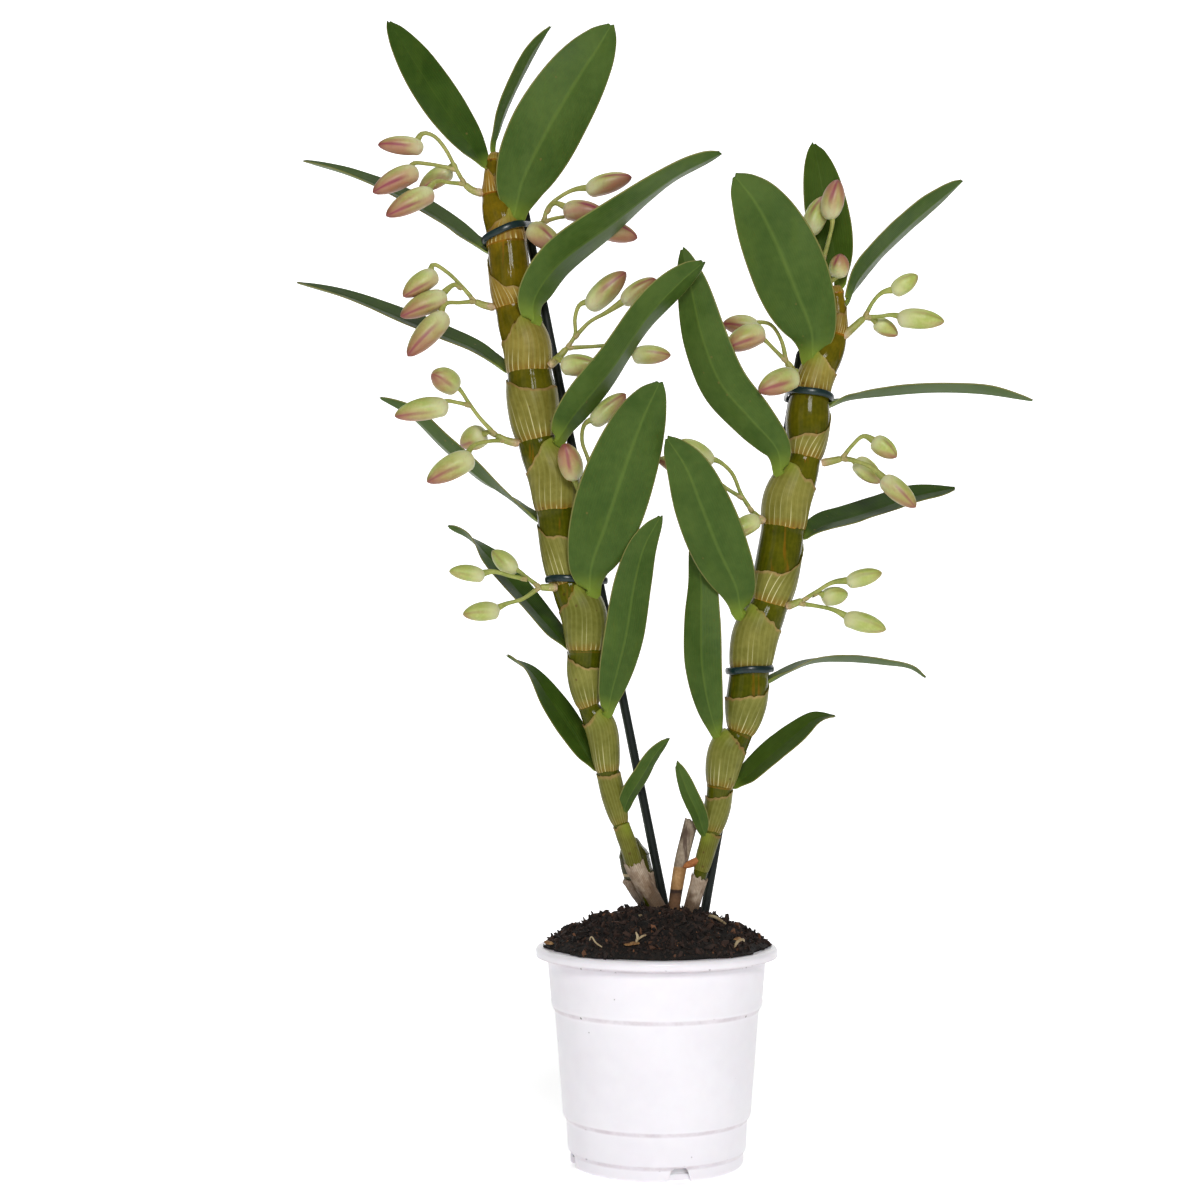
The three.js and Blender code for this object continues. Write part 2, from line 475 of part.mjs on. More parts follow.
/** Middle of the cane at a height. */
function caneMiddle({ foot, nodes }, height) {
  const line = [...foot, ...nodes.flatMap(({ ring, swelling }) => [ring, swelling])];
  const above = Math.max(1, line.findIndex((point) => point[2] > height));
  const [low, high] = [line[above - 1], line[above]];
  const part = (height - low[2]) / (high[2] - low[2]);
  return vector(low).lerp(vector(high), part);
}

// ---------------------------------------------------------------- leaves

/** Blade with a shallow channel, a thin margin and an unequally notched tip. */
function bladeSolid({ width, spine }, cane) {
  const foot = vector(spine[0]);
  const inward = caneMiddle(cane, spine[0][2]).sub(foot).setLength(LEAF_ROOT);
  const root = [...foot.clone().add(inward).toArray(), spine[0][3]];
  const points = [root, ...spine];
  const curve = new THREE.CatmullRomCurve3(points.map(vector), false, 'centripetal');
  const turn = new THREE.CatmullRomCurve3(
    points.map((point) => new THREE.Vector3(point[3], 0, 0)), false, 'catmullrom', 0.5);
  const sections = BLADE_OUTLINE.map(([part, half], k) => {
    const t = curve.getUtoTmapping(part);
    const middle = curve.getPoint(t);
    const tangent = curve.getTangent(t);
    const angle = radians(turn.getPoint(t).x);
    const facing = new THREE.Vector3(0, -1, 0);
    facing.addScaledVector(tangent, -facing.dot(tangent)).normalize();
    const aside = tangent.clone().cross(facing);
    const upper = facing.clone().multiplyScalar(Math.cos(angle)).addScaledVector(aside, Math.sin(angle));
    const side = tangent.clone().cross(upper);
    const reach = width * half;
    const isTip = k === BLADE_OUTLINE.length - 1;
    const place = (sideways, up, ahead) => middle.clone()
      .addScaledVector(side, sideways).addScaledVector(upper, up).addScaledVector(tangent, ahead);
    const rise = 2 * reach * LEAF_CHANNEL;
    const lobe = isTip ? LEAF_LOBE : 0;
    const notch = isTip ? -LEAF_NOTCH : 0;
    return [
      place(0, LEAF_MIDRIB / 2, notch),
      place(reach, rise + LEAF_EDGE / 2, 0),
      place(reach, rise - LEAF_EDGE / 2, 0),
      place(0, -LEAF_MIDRIB / 2, notch),
      place(-reach, rise - LEAF_EDGE / 2, lobe),
      place(-reach, rise + LEAF_EDGE / 2, lobe),
    ];
  });
  // The underside is cut like the upper side, so that a twist can't push one through the other.
  const middleOf = (section) => section[0].clone().lerp(section[3], 0.5);
  return loft(sections, middleOf(sections[0]), middleOf(sections.at(-1)), [2, 3]);
}

// ---------------------------------------------------------------- sprays

/** Bud with a short rounded spur at the heel and a shallow seam between its sepals. */
function budSolid({ heel, tip, radius }) {
  const [start, end] = [vector(heel), vector(tip)];
  const axis = end.clone().sub(start);
  const bow = new THREE.Vector3(0, 0, axis.length() * 0.06);
  const curve = new THREE.QuadraticBezierCurve3(start, start.clone().lerp(end, 0.45).add(bow), end);
  const sections = BUD_OUTLINE.map(([part, size]) => {
    const reach = (angle, j) => [radius * size * (j % 3 ? 1 : 0.9), 0];
    return ringAt(curve.getPoint(part), curve.getTangent(part), BUD_SIDES, reach);
  });
  return { solid: loft(sections, start, end), seat: curve.getPoint(0.22) };
}

function spraySolid({ stalk, buds }) {
  const fork = stalk.length - 1;
  let spray = rod(stalk.map((p, k) => [...p, lerp(STALK_RADIUS * 1.15, STALK_RADIUS * 0.85, k / fork)]),
    STEM_SIDES + 2, 2);
  for (const bud of buds) {
    const { solid, seat } = budSolid(bud);
    const stem = [...bud.stem, seat.toArray()].map((p) => [...p, PEDICEL_RADIUS]);
    spray = spray.add(rod(stem, STEM_SIDES, bud.stem.length)).add(solid);
  }
  return spray;
}

// ---------------------------------------------------------------- stakes and ties

function stakeSolid([foot, top], grow = 0) {
  const ends = [[...foot, STAKE_RADIUS], [...top, STAKE_RADIUS]];
  return rod(ends, STAKE_SIDES, 1, grow);
}

/** Outline round two circles, drawn tight. */
function beltOutline(first, firstRadius, second, secondRadius) {
  const away = second.clone().sub(first);
  const heading = away.angle();
  const lean = Math.acos((firstRadius - secondRadius) / away.length());
  const outline = new THREE.Path();
  outline.absarc(first.x, first.y, firstRadius, heading + lean, heading - lean + 2 * Math.PI, false);
  outline.absarc(second.x, second.y, secondRadius, heading - lean, heading + lean, false);
  return outline.getPoints(4);
}

/** Band of soft plastic drawn round a cane and its stake. */
function tieSolid({ cane, node, height, tilt, stake }) {
  const middle = caneMiddle(cane, height);
  const [foot, top] = stake.map(vector);
  const post = foot.clone().lerp(top, (height - foot.z) / (top.z - foot.z));
  const caneReach = cane.nodes[node].ring[3] + NODE_LIP + TIE_SLACK;
  const post2d = new THREE.Vector2(post.x - middle.x, post.y - middle.y);
  const centre = new THREE.Vector2();
  const ring = (extra) => beltOutline(centre, caneReach + extra, post2d, STAKE_RADIUS + TIE_SLACK + extra);
  const band = new THREE.Shape(ring(TIE_THICKNESS));
  band.holes.push(new THREE.Path(ring(0)));
  const geometry = new THREE.ExtrudeGeometry(band, { depth: TIE_HEIGHT, bevelEnabled: false });
  geometry.translate(0, 0, -TIE_HEIGHT / 2);
  geometry.rotateY(radians(-tilt));
  geometry.translate(middle.x, middle.y, height);
  return solidOf(geometry);
}

// ---------------------------------------------------------------- pot and potting mix

/** Radius of the pot's outer wall, from the foot up; every step widens it. */
const WALL_STEPS = [
  [FOOT_RADIUS, 1.2], [FOOT_RADIUS, 6.2], [44, 7.6], [44.6, 21.5], [46.4, 24.2],
  [50.4, 74.2], [52.1, 77.8], [MOUTH_RADIUS + POT_WALL, POT_HEIGHT - LIP_DROP - 1],
];

function potSolid() {
  const lipBottom = POT_HEIGHT - LIP_DROP;
  const underLip = POT_HEIGHT - POT_WALL;
  const outline = [
    [0, 0], [PAD_RADIUS, 0], [PAD_RADIUS + 2, FLOOR_LIFT], [FOOT_RADIUS - 5.5, FLOOR_LIFT],
    [FOOT_RADIUS - 3, 0], [FOOT_RADIUS - 1, 0], ...WALL_STEPS,
    [MOUTH_RADIUS + POT_WALL + 0.4, underLip], [LIP_RADIUS - POT_WALL, underLip],
    [LIP_RADIUS - POT_WALL, lipBottom], [LIP_RADIUS - 0.3, lipBottom], [LIP_RADIUS, underLip],
    [LIP_RADIUS - 1, POT_HEIGHT], [MOUTH_RADIUS, POT_HEIGHT],
    ...WALL_STEPS.slice(2).reverse().map(([radius, height]) => [radius - POT_WALL, height]),
    [FOOT_RADIUS - POT_WALL, 6.2], [FOOT_RADIUS - POT_WALL, FLOOR_TOP],
    [PAD_RADIUS + 1, FLOOR_TOP], [PAD_RADIUS - 1, FLOOR_TOP - FLOOR_LIFT], [0, FLOOR_TOP - FLOOR_LIFT],
  ];
  const turned = new THREE.LatheGeometry(outline.map(([r, z]) => new THREE.Vector2(r, z)), POT_SIDES);
  turned.rotateX(Math.PI / 2);
  let pot = solidOf(turned);
  for (let k = 0; k < DRAIN_HOLES; k += 1) {
    const drill = new THREE.CylinderGeometry(DRAIN_RADIUS, DRAIN_RADIUS, 3 * FLOOR_TOP, DRAIN_SIDES);
    drill.rotateX(Math.PI / 2);
    drill.translate(DRAIN_CIRCLE, 0, 0);
    drill.rotateZ((2 * Math.PI * (k + 0.5)) / DRAIN_HOLES);
    pot = pot.subtract(solidOf(drill));
  }
  const arch = new THREE.Shape();
  const half = FOOT_ARCH_WIDTH / 2;
  arch.moveTo(-half, -1);
  arch.lineTo(half, -1);
  arch.lineTo(half * 0.5, FOOT_ARCH_HEIGHT);
  arch.lineTo(-half * 0.5, FOOT_ARCH_HEIGHT);
  for (let k = 0; k < FOOT_ARCHES; k += 1) {
    const cutter = new THREE.ExtrudeGeometry(arch, { depth: 5, bevelEnabled: false });
    cutter.rotateX(Math.PI / 2);
    cutter.rotateZ(Math.PI / 2);
    cutter.translate(FOOT_RADIUS - 4, 0, 0);
    cutter.rotateZ(radians(FOOT_ARCH_TURN) + (2 * Math.PI * k) / FOOT_ARCHES);
    pot = pot.subtract(solidOf(cutter));
  }
  return pot;
}

/** Repeatable pseudo-random numbers from 0 to 1. */
function dice(seed) {
  let state = seed;
  return () => {
    state = (state * 16807) % 2147483647;
    return state / 2147483647;
  };
}

/** Height of the heaped surface, with rolling lumps. */
function mixHeight(radius, angle) {
  const fall = (radius / MOUTH_RADIUS) ** 2.2;
  const lumps = Math.sin(5 * angle + radius * 0.4) + Math.cos(7 * angle - radius * 0.9);
  return lerp(MIX_CROWN, MIX_EDGE, fall) + MIX_ROUGHNESS * lumps * (1 - fall ** 3);
}

/** Potting mix: fills the pot, heaps up round the stems and carries bark chips. */
function mixSolid(stems) {
  const floor = FLOOR_TOP + CLEARANCE;
  const brim = POT_HEIGHT + CLEARANCE;
  const levels = [[FOOT_RADIUS - POT_WALL, floor], [WALL_STEPS[3][0] - POT_WALL, WALL_STEPS[3][1]],
    [WALL_STEPS[5][0] - POT_WALL, WALL_STEPS[5][1]], [MOUTH_RADIUS, brim]];
  const circle = (reach) => Array.from({ length: MIX_SIDES }, (_, j) => {
    const angle = (2 * Math.PI * j) / MIX_SIDES;
    const [radius, height] = reach(angle);
    return new THREE.Vector3(radius * Math.cos(angle), radius * Math.sin(angle), height);
  });
  const inside = Math.cos(Math.PI / POT_SIDES); // flats of the pot lie nearer than its corners
  const sections = levels.map(([radius, height]) => circle(() => [(radius - CLEARANCE) * inside - 0.2, height]));
  const edge = (angle) => MOUTH_RADIUS + MIX_OVERHANG + Math.sin(5 * angle) + 1.2 * Math.cos(9 * angle + 1);
  sections.push(circle((angle) => [edge(angle), brim]));
  sections.push(circle((angle) => [edge(angle) - 1, MIX_EDGE]));
  for (const radius of MIX_RINGS) {
    sections.push(circle((angle) => [radius, mixHeight(radius, angle)]));
  }
  let mix = loft(sections, new THREE.Vector3(0, 0, floor), new THREE.Vector3(0, 0, MIX_CROWN));
  const draw = dice(BARK_SEED);
  for (let k = 0; k < BARK_CHIPS; k += 1) {
    const chip = new THREE.BoxGeometry(4 + 5 * draw(), 3 + 2 * draw(), 1.5 + 2 * draw());
    chip.rotateX(draw() - 0.5);
    chip.rotateY(draw() - 0.5);
    chip.rotateZ(Math.PI * draw());
    const angle = 2 * Math.PI * ((k * 0.382) % 1);
    const radius = 14 + 32 * Math.sqrt((k + 0.5) / BARK_CHIPS);
    chip.translate(radius * Math.cos(angle), radius * Math.sin(angle), mixHeight(radius, angle) + 0.4);
    mix = mix.add(solidOf(chip));
  }
  return stems.reduce((rest, stem) => rest.subtract(stem), mix);
}

// ---------------------------------------------------------------- assembly

const group = new THREE.Group();
const numbered = (name, k) => `${name}_${String(k + 1).padStart(2, '0')}`;
const put = (name, solid, colours) => group.add(meshOf(name, solid, colours));

const bulb = (grow) => rod(OLD_BULB, 10, 10, grow);
const stub = (grow) => rod(DRY_STUB, 7, 4, grow);
const canes = { left: LEFT_CANE, right: RIGHT_CANE };
const roomForCane = {
  left: caneSolid(LEFT_CANE, CLEARANCE),
  right: caneSolid(RIGHT_CANE, CLEARANCE),
};
const roomForStake = {
  left: stakeSolid(LEFT_STAKE, CLEARANCE),
  right: stakeSolid(RIGHT_STAKE, CLEARANCE),
};

put('pot', potSolid(), COLOURS.pot);
put('potting_mix', mixSolid([
  ...Object.values(roomForCane), ...Object.values(roomForStake), bulb(CLEARANCE), stub(CLEARANCE),
]), COLOURS.mix);

for (const side of ['left', 'right']) {
  put(`cane_${side}`, caneSolid(canes[side]), COLOURS.cane);
  put(`stake_${side}`, stakeSolid({ left: LEFT_STAKE, right: RIGHT_STAKE }[side]), COLOURS.stake);
  const leaves = { left: LEFT_LEAVES, right: RIGHT_LEAVES }[side];
  leaves.forEach((leaf, k) => {
    const blade = bladeSolid(leaf, canes[side]).subtract(roomForCane[side]);
    put(numbered(`leaf_${side}`, k), blade, COLOURS.leaf);
  });
  const sprays = { left: LEFT_SPRAYS, right: RIGHT_SPRAYS }[side];
  sprays.forEach((spray, k) => {
    put(numbered(`spray_${side}`, k), spraySolid(spray).subtract(roomForCane[side]), COLOURS.bud);
  });
}

for (const [name, tie] of Object.entries(TIES)) {
  const side = name.includes('left') ? 'left' : 'right';
  put(name, tieSolid(tie).subtract(roomForCane[side]).subtract(roomForStake[side]), COLOURS.tie);
}
put('old_bulb', bulb(0), COLOURS.bulb);
put('dry_stub', stub(0), COLOURS.stub);

export default group;
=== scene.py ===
import json
import math

import bmesh
import bpy
import numpy as np
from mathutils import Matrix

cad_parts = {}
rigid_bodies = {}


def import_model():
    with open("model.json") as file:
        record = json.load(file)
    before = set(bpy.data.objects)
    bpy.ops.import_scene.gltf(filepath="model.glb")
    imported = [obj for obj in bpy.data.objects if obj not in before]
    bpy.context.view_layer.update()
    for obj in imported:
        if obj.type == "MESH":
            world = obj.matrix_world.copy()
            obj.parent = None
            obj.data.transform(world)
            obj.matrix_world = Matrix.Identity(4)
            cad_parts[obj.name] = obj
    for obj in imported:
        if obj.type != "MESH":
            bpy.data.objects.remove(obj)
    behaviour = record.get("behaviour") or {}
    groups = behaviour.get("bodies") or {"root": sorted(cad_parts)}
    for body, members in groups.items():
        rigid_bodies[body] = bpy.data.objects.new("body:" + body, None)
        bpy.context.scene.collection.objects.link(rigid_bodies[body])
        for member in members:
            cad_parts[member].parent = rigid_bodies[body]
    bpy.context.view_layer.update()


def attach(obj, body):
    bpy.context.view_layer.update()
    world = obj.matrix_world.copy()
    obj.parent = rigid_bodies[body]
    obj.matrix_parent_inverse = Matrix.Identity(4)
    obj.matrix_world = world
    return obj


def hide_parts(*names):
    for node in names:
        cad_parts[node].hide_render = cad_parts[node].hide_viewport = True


MM = 0.001
TURN = 2 * math.pi

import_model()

# ---------------------------------------------------------------- measured places
# The canes, leaves and sprays are numbered from the potting mix upwards.

# A cane: the middle and radius of some places in its foot, then node by node the middle and
# radius of the node's ring and of the swelling above it.
LEFT_CANE = {
  "foot": [[6, 12, 109, 3.2], [2, 12, 121, 3.4], [-7, 11, 137, 3.6]],
  "nodes": [
    {"ring": [-10, 11, 143, 3.7], "swelling": [-13.5, 10.5, 154, 3.9]},
    {"ring": [-17.5, 10, 165, 3.7], "swelling": [-22, 9.5, 182.5, 5.6]},
    {"ring": [-24, 8, 191.5, 5.5], "swelling": [-27.5, 7.5, 213.5, 7.5]},
    {"ring": [-33.5, 6, 224, 5], "swelling": [-35.5, 5.5, 243.5, 8.8]},
    {"ring": [-35, 5, 252, 9], "swelling": [-36.5, 4.5, 271.5, 11.2]},
    {"ring": [-44.5, 4, 286, 8], "swelling": [-48, 3.5, 308, 10.2]},
    {"ring": [-49.5, 3, 322.5, 10.5], "swelling": [-51.5, 2.5, 340.5, 12.5]},
    {"ring": [-59.5, 2, 357.5, 9.5], "swelling": [-62, 1.5, 378.5, 12.6]},
    {"ring": [-63.5, 1, 392, 11], "swelling": [-65, 0.5, 406, 11.7]},
    {"ring": [-72.5, 0, 425, 8], "swelling": [-73.5, 0, 443, 10.3]},
    {"ring": [-75, 0, 457, 10], "swelling": [-77.5, 0, 469.5, 9.2]},
    {"ring": [-81.5, 0, 482.5, 6], "swelling": [-81.5, 0, 491, 5]},
    {"ring": [-81, 0, 500, 3.7], "swelling": [-81, 0, 504, 3]},
  ],
}
RIGHT_CANE = {
  "foot": [[15, 8, 109, 3], [17, 8, 121, 3], [21, 8, 135, 3]],
  "nodes": [
    {"ring": [22.5, 8, 141.5, 3.3], "swelling": [25.5, 7.5, 152.5, 4]},
    {"ring": [28, 7, 161.5, 4.5], "swelling": [31, 6.5, 175, 6.2]},
    {"ring": [32, 6, 184, 6.3], "swelling": [36, 5.5, 202.5, 9]},
    {"ring": [42, 5, 211, 6.2], "swelling": [45.5, 4.5, 229, 10.2]},
    {"ring": [47, 4, 242, 9.6], "swelling": [50, 3.5, 260, 11.3]},
    {"ring": [57, 3, 275.5, 9.2], "swelling": [60.5, 2.5, 292.5, 11.3]},
    {"ring": [64, 2, 313.5, 10.8], "swelling": [66, 1.5, 328, 11.7]},
    {"ring": [75, 1, 349, 7.8], "swelling": [76.5, 0.5, 368, 11]},
    {"ring": [78, 0, 381.5, 9.3], "swelling": [84, 0, 397.5, 8.7]},
    {"ring": [91.5, 0, 411, 4.7], "swelling": [92, 0, 423, 4]},
    {"ring": [91, 0, 432, 3.9], "swelling": [90.5, 0, 436, 3]},
  ],
}
# A leaf: its greatest width, then x, y, z and roll along its middle. At no roll its upper side
# faces the front.
LEFT_LEAVES = [
  {"width": 10, "spine": [[-17, 7, 170.5, -175], [-14, 5, 178.5, -150], [-7.5, 1, 189.5, -145],
    [-1, -2, 200.5, -145], [6, -4, 208.5, -140]]},
  {"width": 17, "spine": [[-30, 11, 193, 35], [-42, 17, 210.5, 38], [-54, 22, 228, 45],
    [-64, 25, 242, 70], [-75.5, 27, 250, 105]]},
  {"width": 21, "spine": [[-25, -1, 221, -175], [-22, -4, 232.5, -165], [-15.5, -8, 258.5, -160],
    [-11, -10, 285.5, -160], [-6, -11, 304, -160], [2, -13, 318.5, -160]]},
  {"width": 22, "spine": [[-43, 9, 253.5, 40], [-54.5, 15, 265, 55], [-71, 22, 284, 60],
    [-84.5, 27, 299.5, 62], [-95, 30, 310.5, 90], [-106.5, 32, 317, 120]]},
  {"width": 36, "spine": [[-33.5, -6.5, 281, -176], [-32.5, -11, 293, -170], [-25, -18, 314.5, -165],
    [-16, -25, 341, -165], [-7, -30, 365, -165], [1, -33, 382, -165]]},
  {"width": 22, "spine": [[-59, 8, 317.5, 60], [-72.5, 15, 329, 85], [-89.5, 22, 341.5, 106],
    [-108, 28, 358, 106], [-125.5, 32, 375, 106], [-142.5, 35, 384.5, 108]]},
  {"width": 28, "spine": [[-49.5, -10, 356.5, -165], [-42, -15, 367.5, -135], [-23, -21, 390, -118],
    [-4.5, -26, 416, -118], [10, -29, 431, -130], [22.5, -31, 441.5, -140]]},
  {"width": 25, "spine": [[-75, 8, 393.5, 50], [-90.5, 15, 405.5, 62], [-109.5, 21, 414.5, 66],
    [-131.5, 26, 424.5, 66], [-158, 30, 436, 66], [-186, 33, 445, 70]]},
  {"width": 30, "spine": [[-61.5, -10, 416, -165], [-61, -14, 426, -150], [-50, -18, 442, -122],
    [-22, -21, 463, -110], [-3.5, -23, 477, -104], [12, -24, 487.5, -99], [31.5, -25, 497, -110]]},
  {"width": 26, "spine": [[-84.5, 5, 454, 50], [-105, 13, 470, 62], [-131.5, 20, 487, 66],
    [-158, 26, 500, 66], [-182.5, 30, 508.5, 70]]},
  {"width": 36, "spine": [[-71.5, -7, 469.5, -175], [-67, -12, 486, -165], [-54.5, -17, 510.5, -160],
    [-39.5, -21, 535, -160], [-28, -24, 552, -160], [-22.5, -26, 561, -160]]},
  {"width": 22, "spine": [[-86, 1, 497, 35], [-95, 5, 510.5, 25], [-109.5, 9, 532.5, 15],
    [-125, 13, 557.5, 15], [-137, 15, 577, 20]]},
  {"width": 13, "spine": [[-81.5, 0, 505, -100], [-78.5, -1, 520, -105], [-71.5, -3, 536.5, -108],
    [-62.5, -4, 554.5, -108], [-53, -5, 567.5, -100]]},
]
RIGHT_LEAVES = [
  {"width": 9, "spine": [[25, 4, 159.5, 178], [21, 0, 170.5, 160], [15.5, -4, 182.5, 155],
    [10, -8, 197, 155]]},
  {"width": 18, "spine": [[39.5, 10, 184.5, -30], [49, 15, 191, -48], [61, 19, 201, -52],
    [73, 23, 210.5, -54], [82.5, 25, 217.5, -60], [92.5, 26, 219, -75]]},
  {"width": 19, "spine": [[31.5, 0, 209.5, 178], [27, -3, 221.5, 165], [23, -5, 243.5, 160],
    [22.5, -4, 267.5, 160], [22.5, -2, 288, 160], [18.5, -1, 308, 160]]},
  {"width": 20, "spine": [[56, 8, 236, -75], [66, 13, 241, -82], [80, 19, 246.5, -90],
    [98, 26, 247.5, -92], [119, 32, 246, -92], [133, 35, 244, -90], [141, 37, 239, -85]]},
  {"width": 29, "spine": [[42.5, -6, 271, 178], [39.5, -11, 283, 170], [30.5, -17, 301.5, 165],
    [21.5, -23, 323, 165], [14, -27, 341, 165], [4.5, -30, 355, 165]]},
  {"width": 26, "spine": [[74.5, 7, 309, -45], [85, 13, 315.5, -58], [101, 20, 320.5, -62],
    [118.5, 26, 326.5, -62], [135.5, 30, 332.5, -62], [156.5, 34, 337, -60]]},
  {"width": 25, "spine": [[62.5, -8, 341, 178], [60, -12, 351.5, 165], [47.5, -14, 366, 155],
    [32.5, -15, 383.5, 150], [23, -15, 407, 150], [17.5, -14, 432, 152], [13, -13, 452, 155]]},
  {"width": 26, "spine": [[86.5, 5, 375, -62], [97.5, 11, 380, -82], [118, 18, 383.5, -90],
    [145, 25, 386.5, -90], [172, 31, 386.5, -90], [198, 36, 383.5, -85]]},
  {"width": 37, "spine": [[78.5, -7, 398.5, 175], [77.5, -11, 410.5, 168], [69, -17, 430.5, 165],
    [59, -22, 453, 165], [48.5, -26, 472, 165], [38, -29, 484.5, 165]]},
  {"width": 22, "spine": [[96.5, 3, 427, -90], [102.5, 7, 440, -112], [115, 12, 455.5, -113],
    [132.5, 17, 473, -113], [159.5, 22, 496, -110]]},
  {"width": 22, "spine": [[92.5, 1, 437, -10], [92, 6, 449, -10], [88.5, 12, 474, -5],
    [85, 16, 498, 0], [82.5, 19, 514.5, 0]]},
]
# A spray: the middle of its stalk, then each bud with its stem, heel, tip and greatest radius.
LEFT_SPRAYS = [
  {"stalk": [[-49.5, -4, 283.5], [-54, -5, 283.5], [-58, -6, 283.5]], "buds": [
    {"stem": [[-58, -6, 283.5], [-64.5, -6, 288.5], [-69, -5, 292]],
      "heel": [-70, -4, 290.5], "tip": [-82, -2, 302], "radius": 4.8},
    {"stem": [[-64.5, -6, 287.5], [-72.5, -9, 289], [-81, -11, 291]],
      "heel": [-85, -12, 288.5], "tip": [-102.5, -14, 291], "radius": 4.1},
    {"stem": [[-58, -6, 283.5], [-66.5, -9, 277.5], [-74.5, -11, 275]],
      "heel": [-77.5, -13, 271.5], "tip": [-95.5, -16, 269.5], "radius": 4.8},
  ]},
  {"stalk": [[-39.5, -5, 326], [-36.5, -7, 328.5], [-35.5, -8, 329.5]], "buds": [
    {"stem": [[-36.5, -7, 328.5], [-39, -10, 332.5]],
      "heel": [-40.5, -12, 336.5], "tip": [-45.5, -23, 353], "radius": 6},
    {"stem": [[-35.5, -8, 329.5], [-32, -5, 338], [-34, -4, 348], [-37, -4, 357], [-35.5, -5, 365.5]],
      "heel": [-32, -5, 365], "tip": [-15, -5, 380.5], "radius": 5.2},
  ]},
  {"stalk": [[-68.5, -5, 355.5], [-75, -6, 357], [-80, -7, 359.5]], "buds": [
    {"stem": [[-80, -7, 359.5], [-88, -9, 368], [-93.5, -10, 375.5], [-98, -11, 382]],
      "heel": [-99.5, -9, 383], "tip": [-110.5, -21, 388], "radius": 6.2},
    {"stem": [[-92.5, -10, 374], [-98.5, -12, 375], [-104.5, -14, 375.5]],
      "heel": [-103, -14, 373], "tip": [-129.5, -17, 367.5], "radius": 5.7},
    {"stem": [[-75, -6, 357], [-83.5, -10, 356], [-91, -14, 353]],
      "heel": [-90.5, -15, 347.5], "tip": [-113, -20, 334.5], "radius": 6.2},
    {"stem": [[-80, -7, 359.5], [-84, -3, 361.5]],
      "heel": [-85.5, 2, 361.5], "tip": [-98.5, 7, 356], "radius": 6.2},
  ]},
  {"stalk": [[-53.5, -5, 394.5], [-49, -6, 398.5], [-44.5, -6, 403.5]], "buds": [
    {"stem": [[-44.5, -6, 403.5], [-40.5, -6, 410], [-40.5, -7, 418.5], [-38, -8, 425]],
      "heel": [-34, -9, 422.5], "tip": [-15, -12, 440.5], "radius": 6},
    {"stem": [[-41, -6, 408.5], [-33, -5, 417], [-25, -5, 421.5]],
      "heel": [-17, -6, 426], "tip": [0, -8, 438], "radius": 4.8},
    {"stem": [[-51.5, -6, 396.5], [-50, -9, 398]],
      "heel": [-47.5, -12, 393.5], "tip": [-27.5, -17, 392], "radius": 5.6},
    {"stem": [[-44.5, -6, 403.5], [-33, -4, 404.5], [-22, -3, 405]],
      "heel": [-12, -3, 400], "tip": [7.5, -5, 400], "radius": 4.9},
  ]},
  {"stalk": [[-81, -1, 425], [-86.5, -2, 426], [-91, -4, 427.5]], "buds": [
    {"stem": [[-91, -4, 427.5], [-97.5, -5, 435], [-104.5, -7, 441.5], [-111.5, -9, 445]],
      "heel": [-109.5, -9, 440.5], "tip": [-126, -13, 428], "radius": 5.3},
    {"stem": [[-97.5, -5, 434], [-101, -8, 435]],
      "heel": [-104.5, -10, 429], "tip": [-127, -15, 417.5], "radius": 5.6},
    {"stem": [[-91, -4, 427.5], [-98, -8, 426], [-105, -12, 424.5]],
      "heel": [-104, -14, 419], "tip": [-123, -19, 397], "radius": 6},
  ]},
  {"stalk": [[-65, -4, 461], [-60, -5, 464.5], [-56.5, -5, 467.5]], "buds": [
    {"stem": [[-56.5, -5, 467.5], [-54, -4, 475.5], [-49, -4, 480], [-41, -5, 484]],
      "heel": [-35, -6, 483], "tip": [-12, -8, 489.5], "radius": 5.2},
    {"stem": [[-55, -4, 472.5], [-51, -7, 476.5]],
      "heel": [-46.5, -9, 472.5], "tip": [-24.5, -12, 469], "radius": 5.6},
    {"stem": [[-60, -5, 464.5], [-61, -9, 465]],
      "heel": [-63.5, -11, 463], "tip": [-47.5, -18, 450.5], "radius": 6},
    {"stem": [[-56.5, -5, 467.5], [-49, -2, 470.5], [-40.5, 0, 471.5], [-32, 1, 470]],
      "heel": [-29, 1, 465.5], "tip": [-9, 2, 461], "radius": 5.2},
  ]},
  {"stalk": [[-87, -1, 483], [-92.5, -2, 484.5], [-96.5, -3, 487.5]], "buds": [
    {"stem": [[-96.5, -3, 487.5], [-101, -5, 495.5], [-106, -7, 504.5], [-111.5, -8, 510.5],
      [-117, -9, 511.5]], "heel": [-116.5, -9, 504], "tip": [-139, -13, 504.5], "radius": 4.7},
    {"stem": [[-100.5, -4, 494.5], [-107, -6, 495.5], [-114.5, -9, 496], [-121.5, -11, 495.5]],
      "heel": [-119, -11, 492], "tip": [-141, -16, 479.5], "radius": 5.5},
    {"stem": [[-96.5, -3, 487.5], [-103.5, -7, 487], [-110, -11, 486.5]],
      "heel": [-111, -13, 480.5], "tip": [-134, -19, 467], "radius": 5.5},
    {"stem": [[-100.5, -4, 494.5], [-102.5, 3, 499]],
      "heel": [-103.5, 7, 497.5], "tip": [-120.5, 11, 488], "radius": 5},
  ]},
]
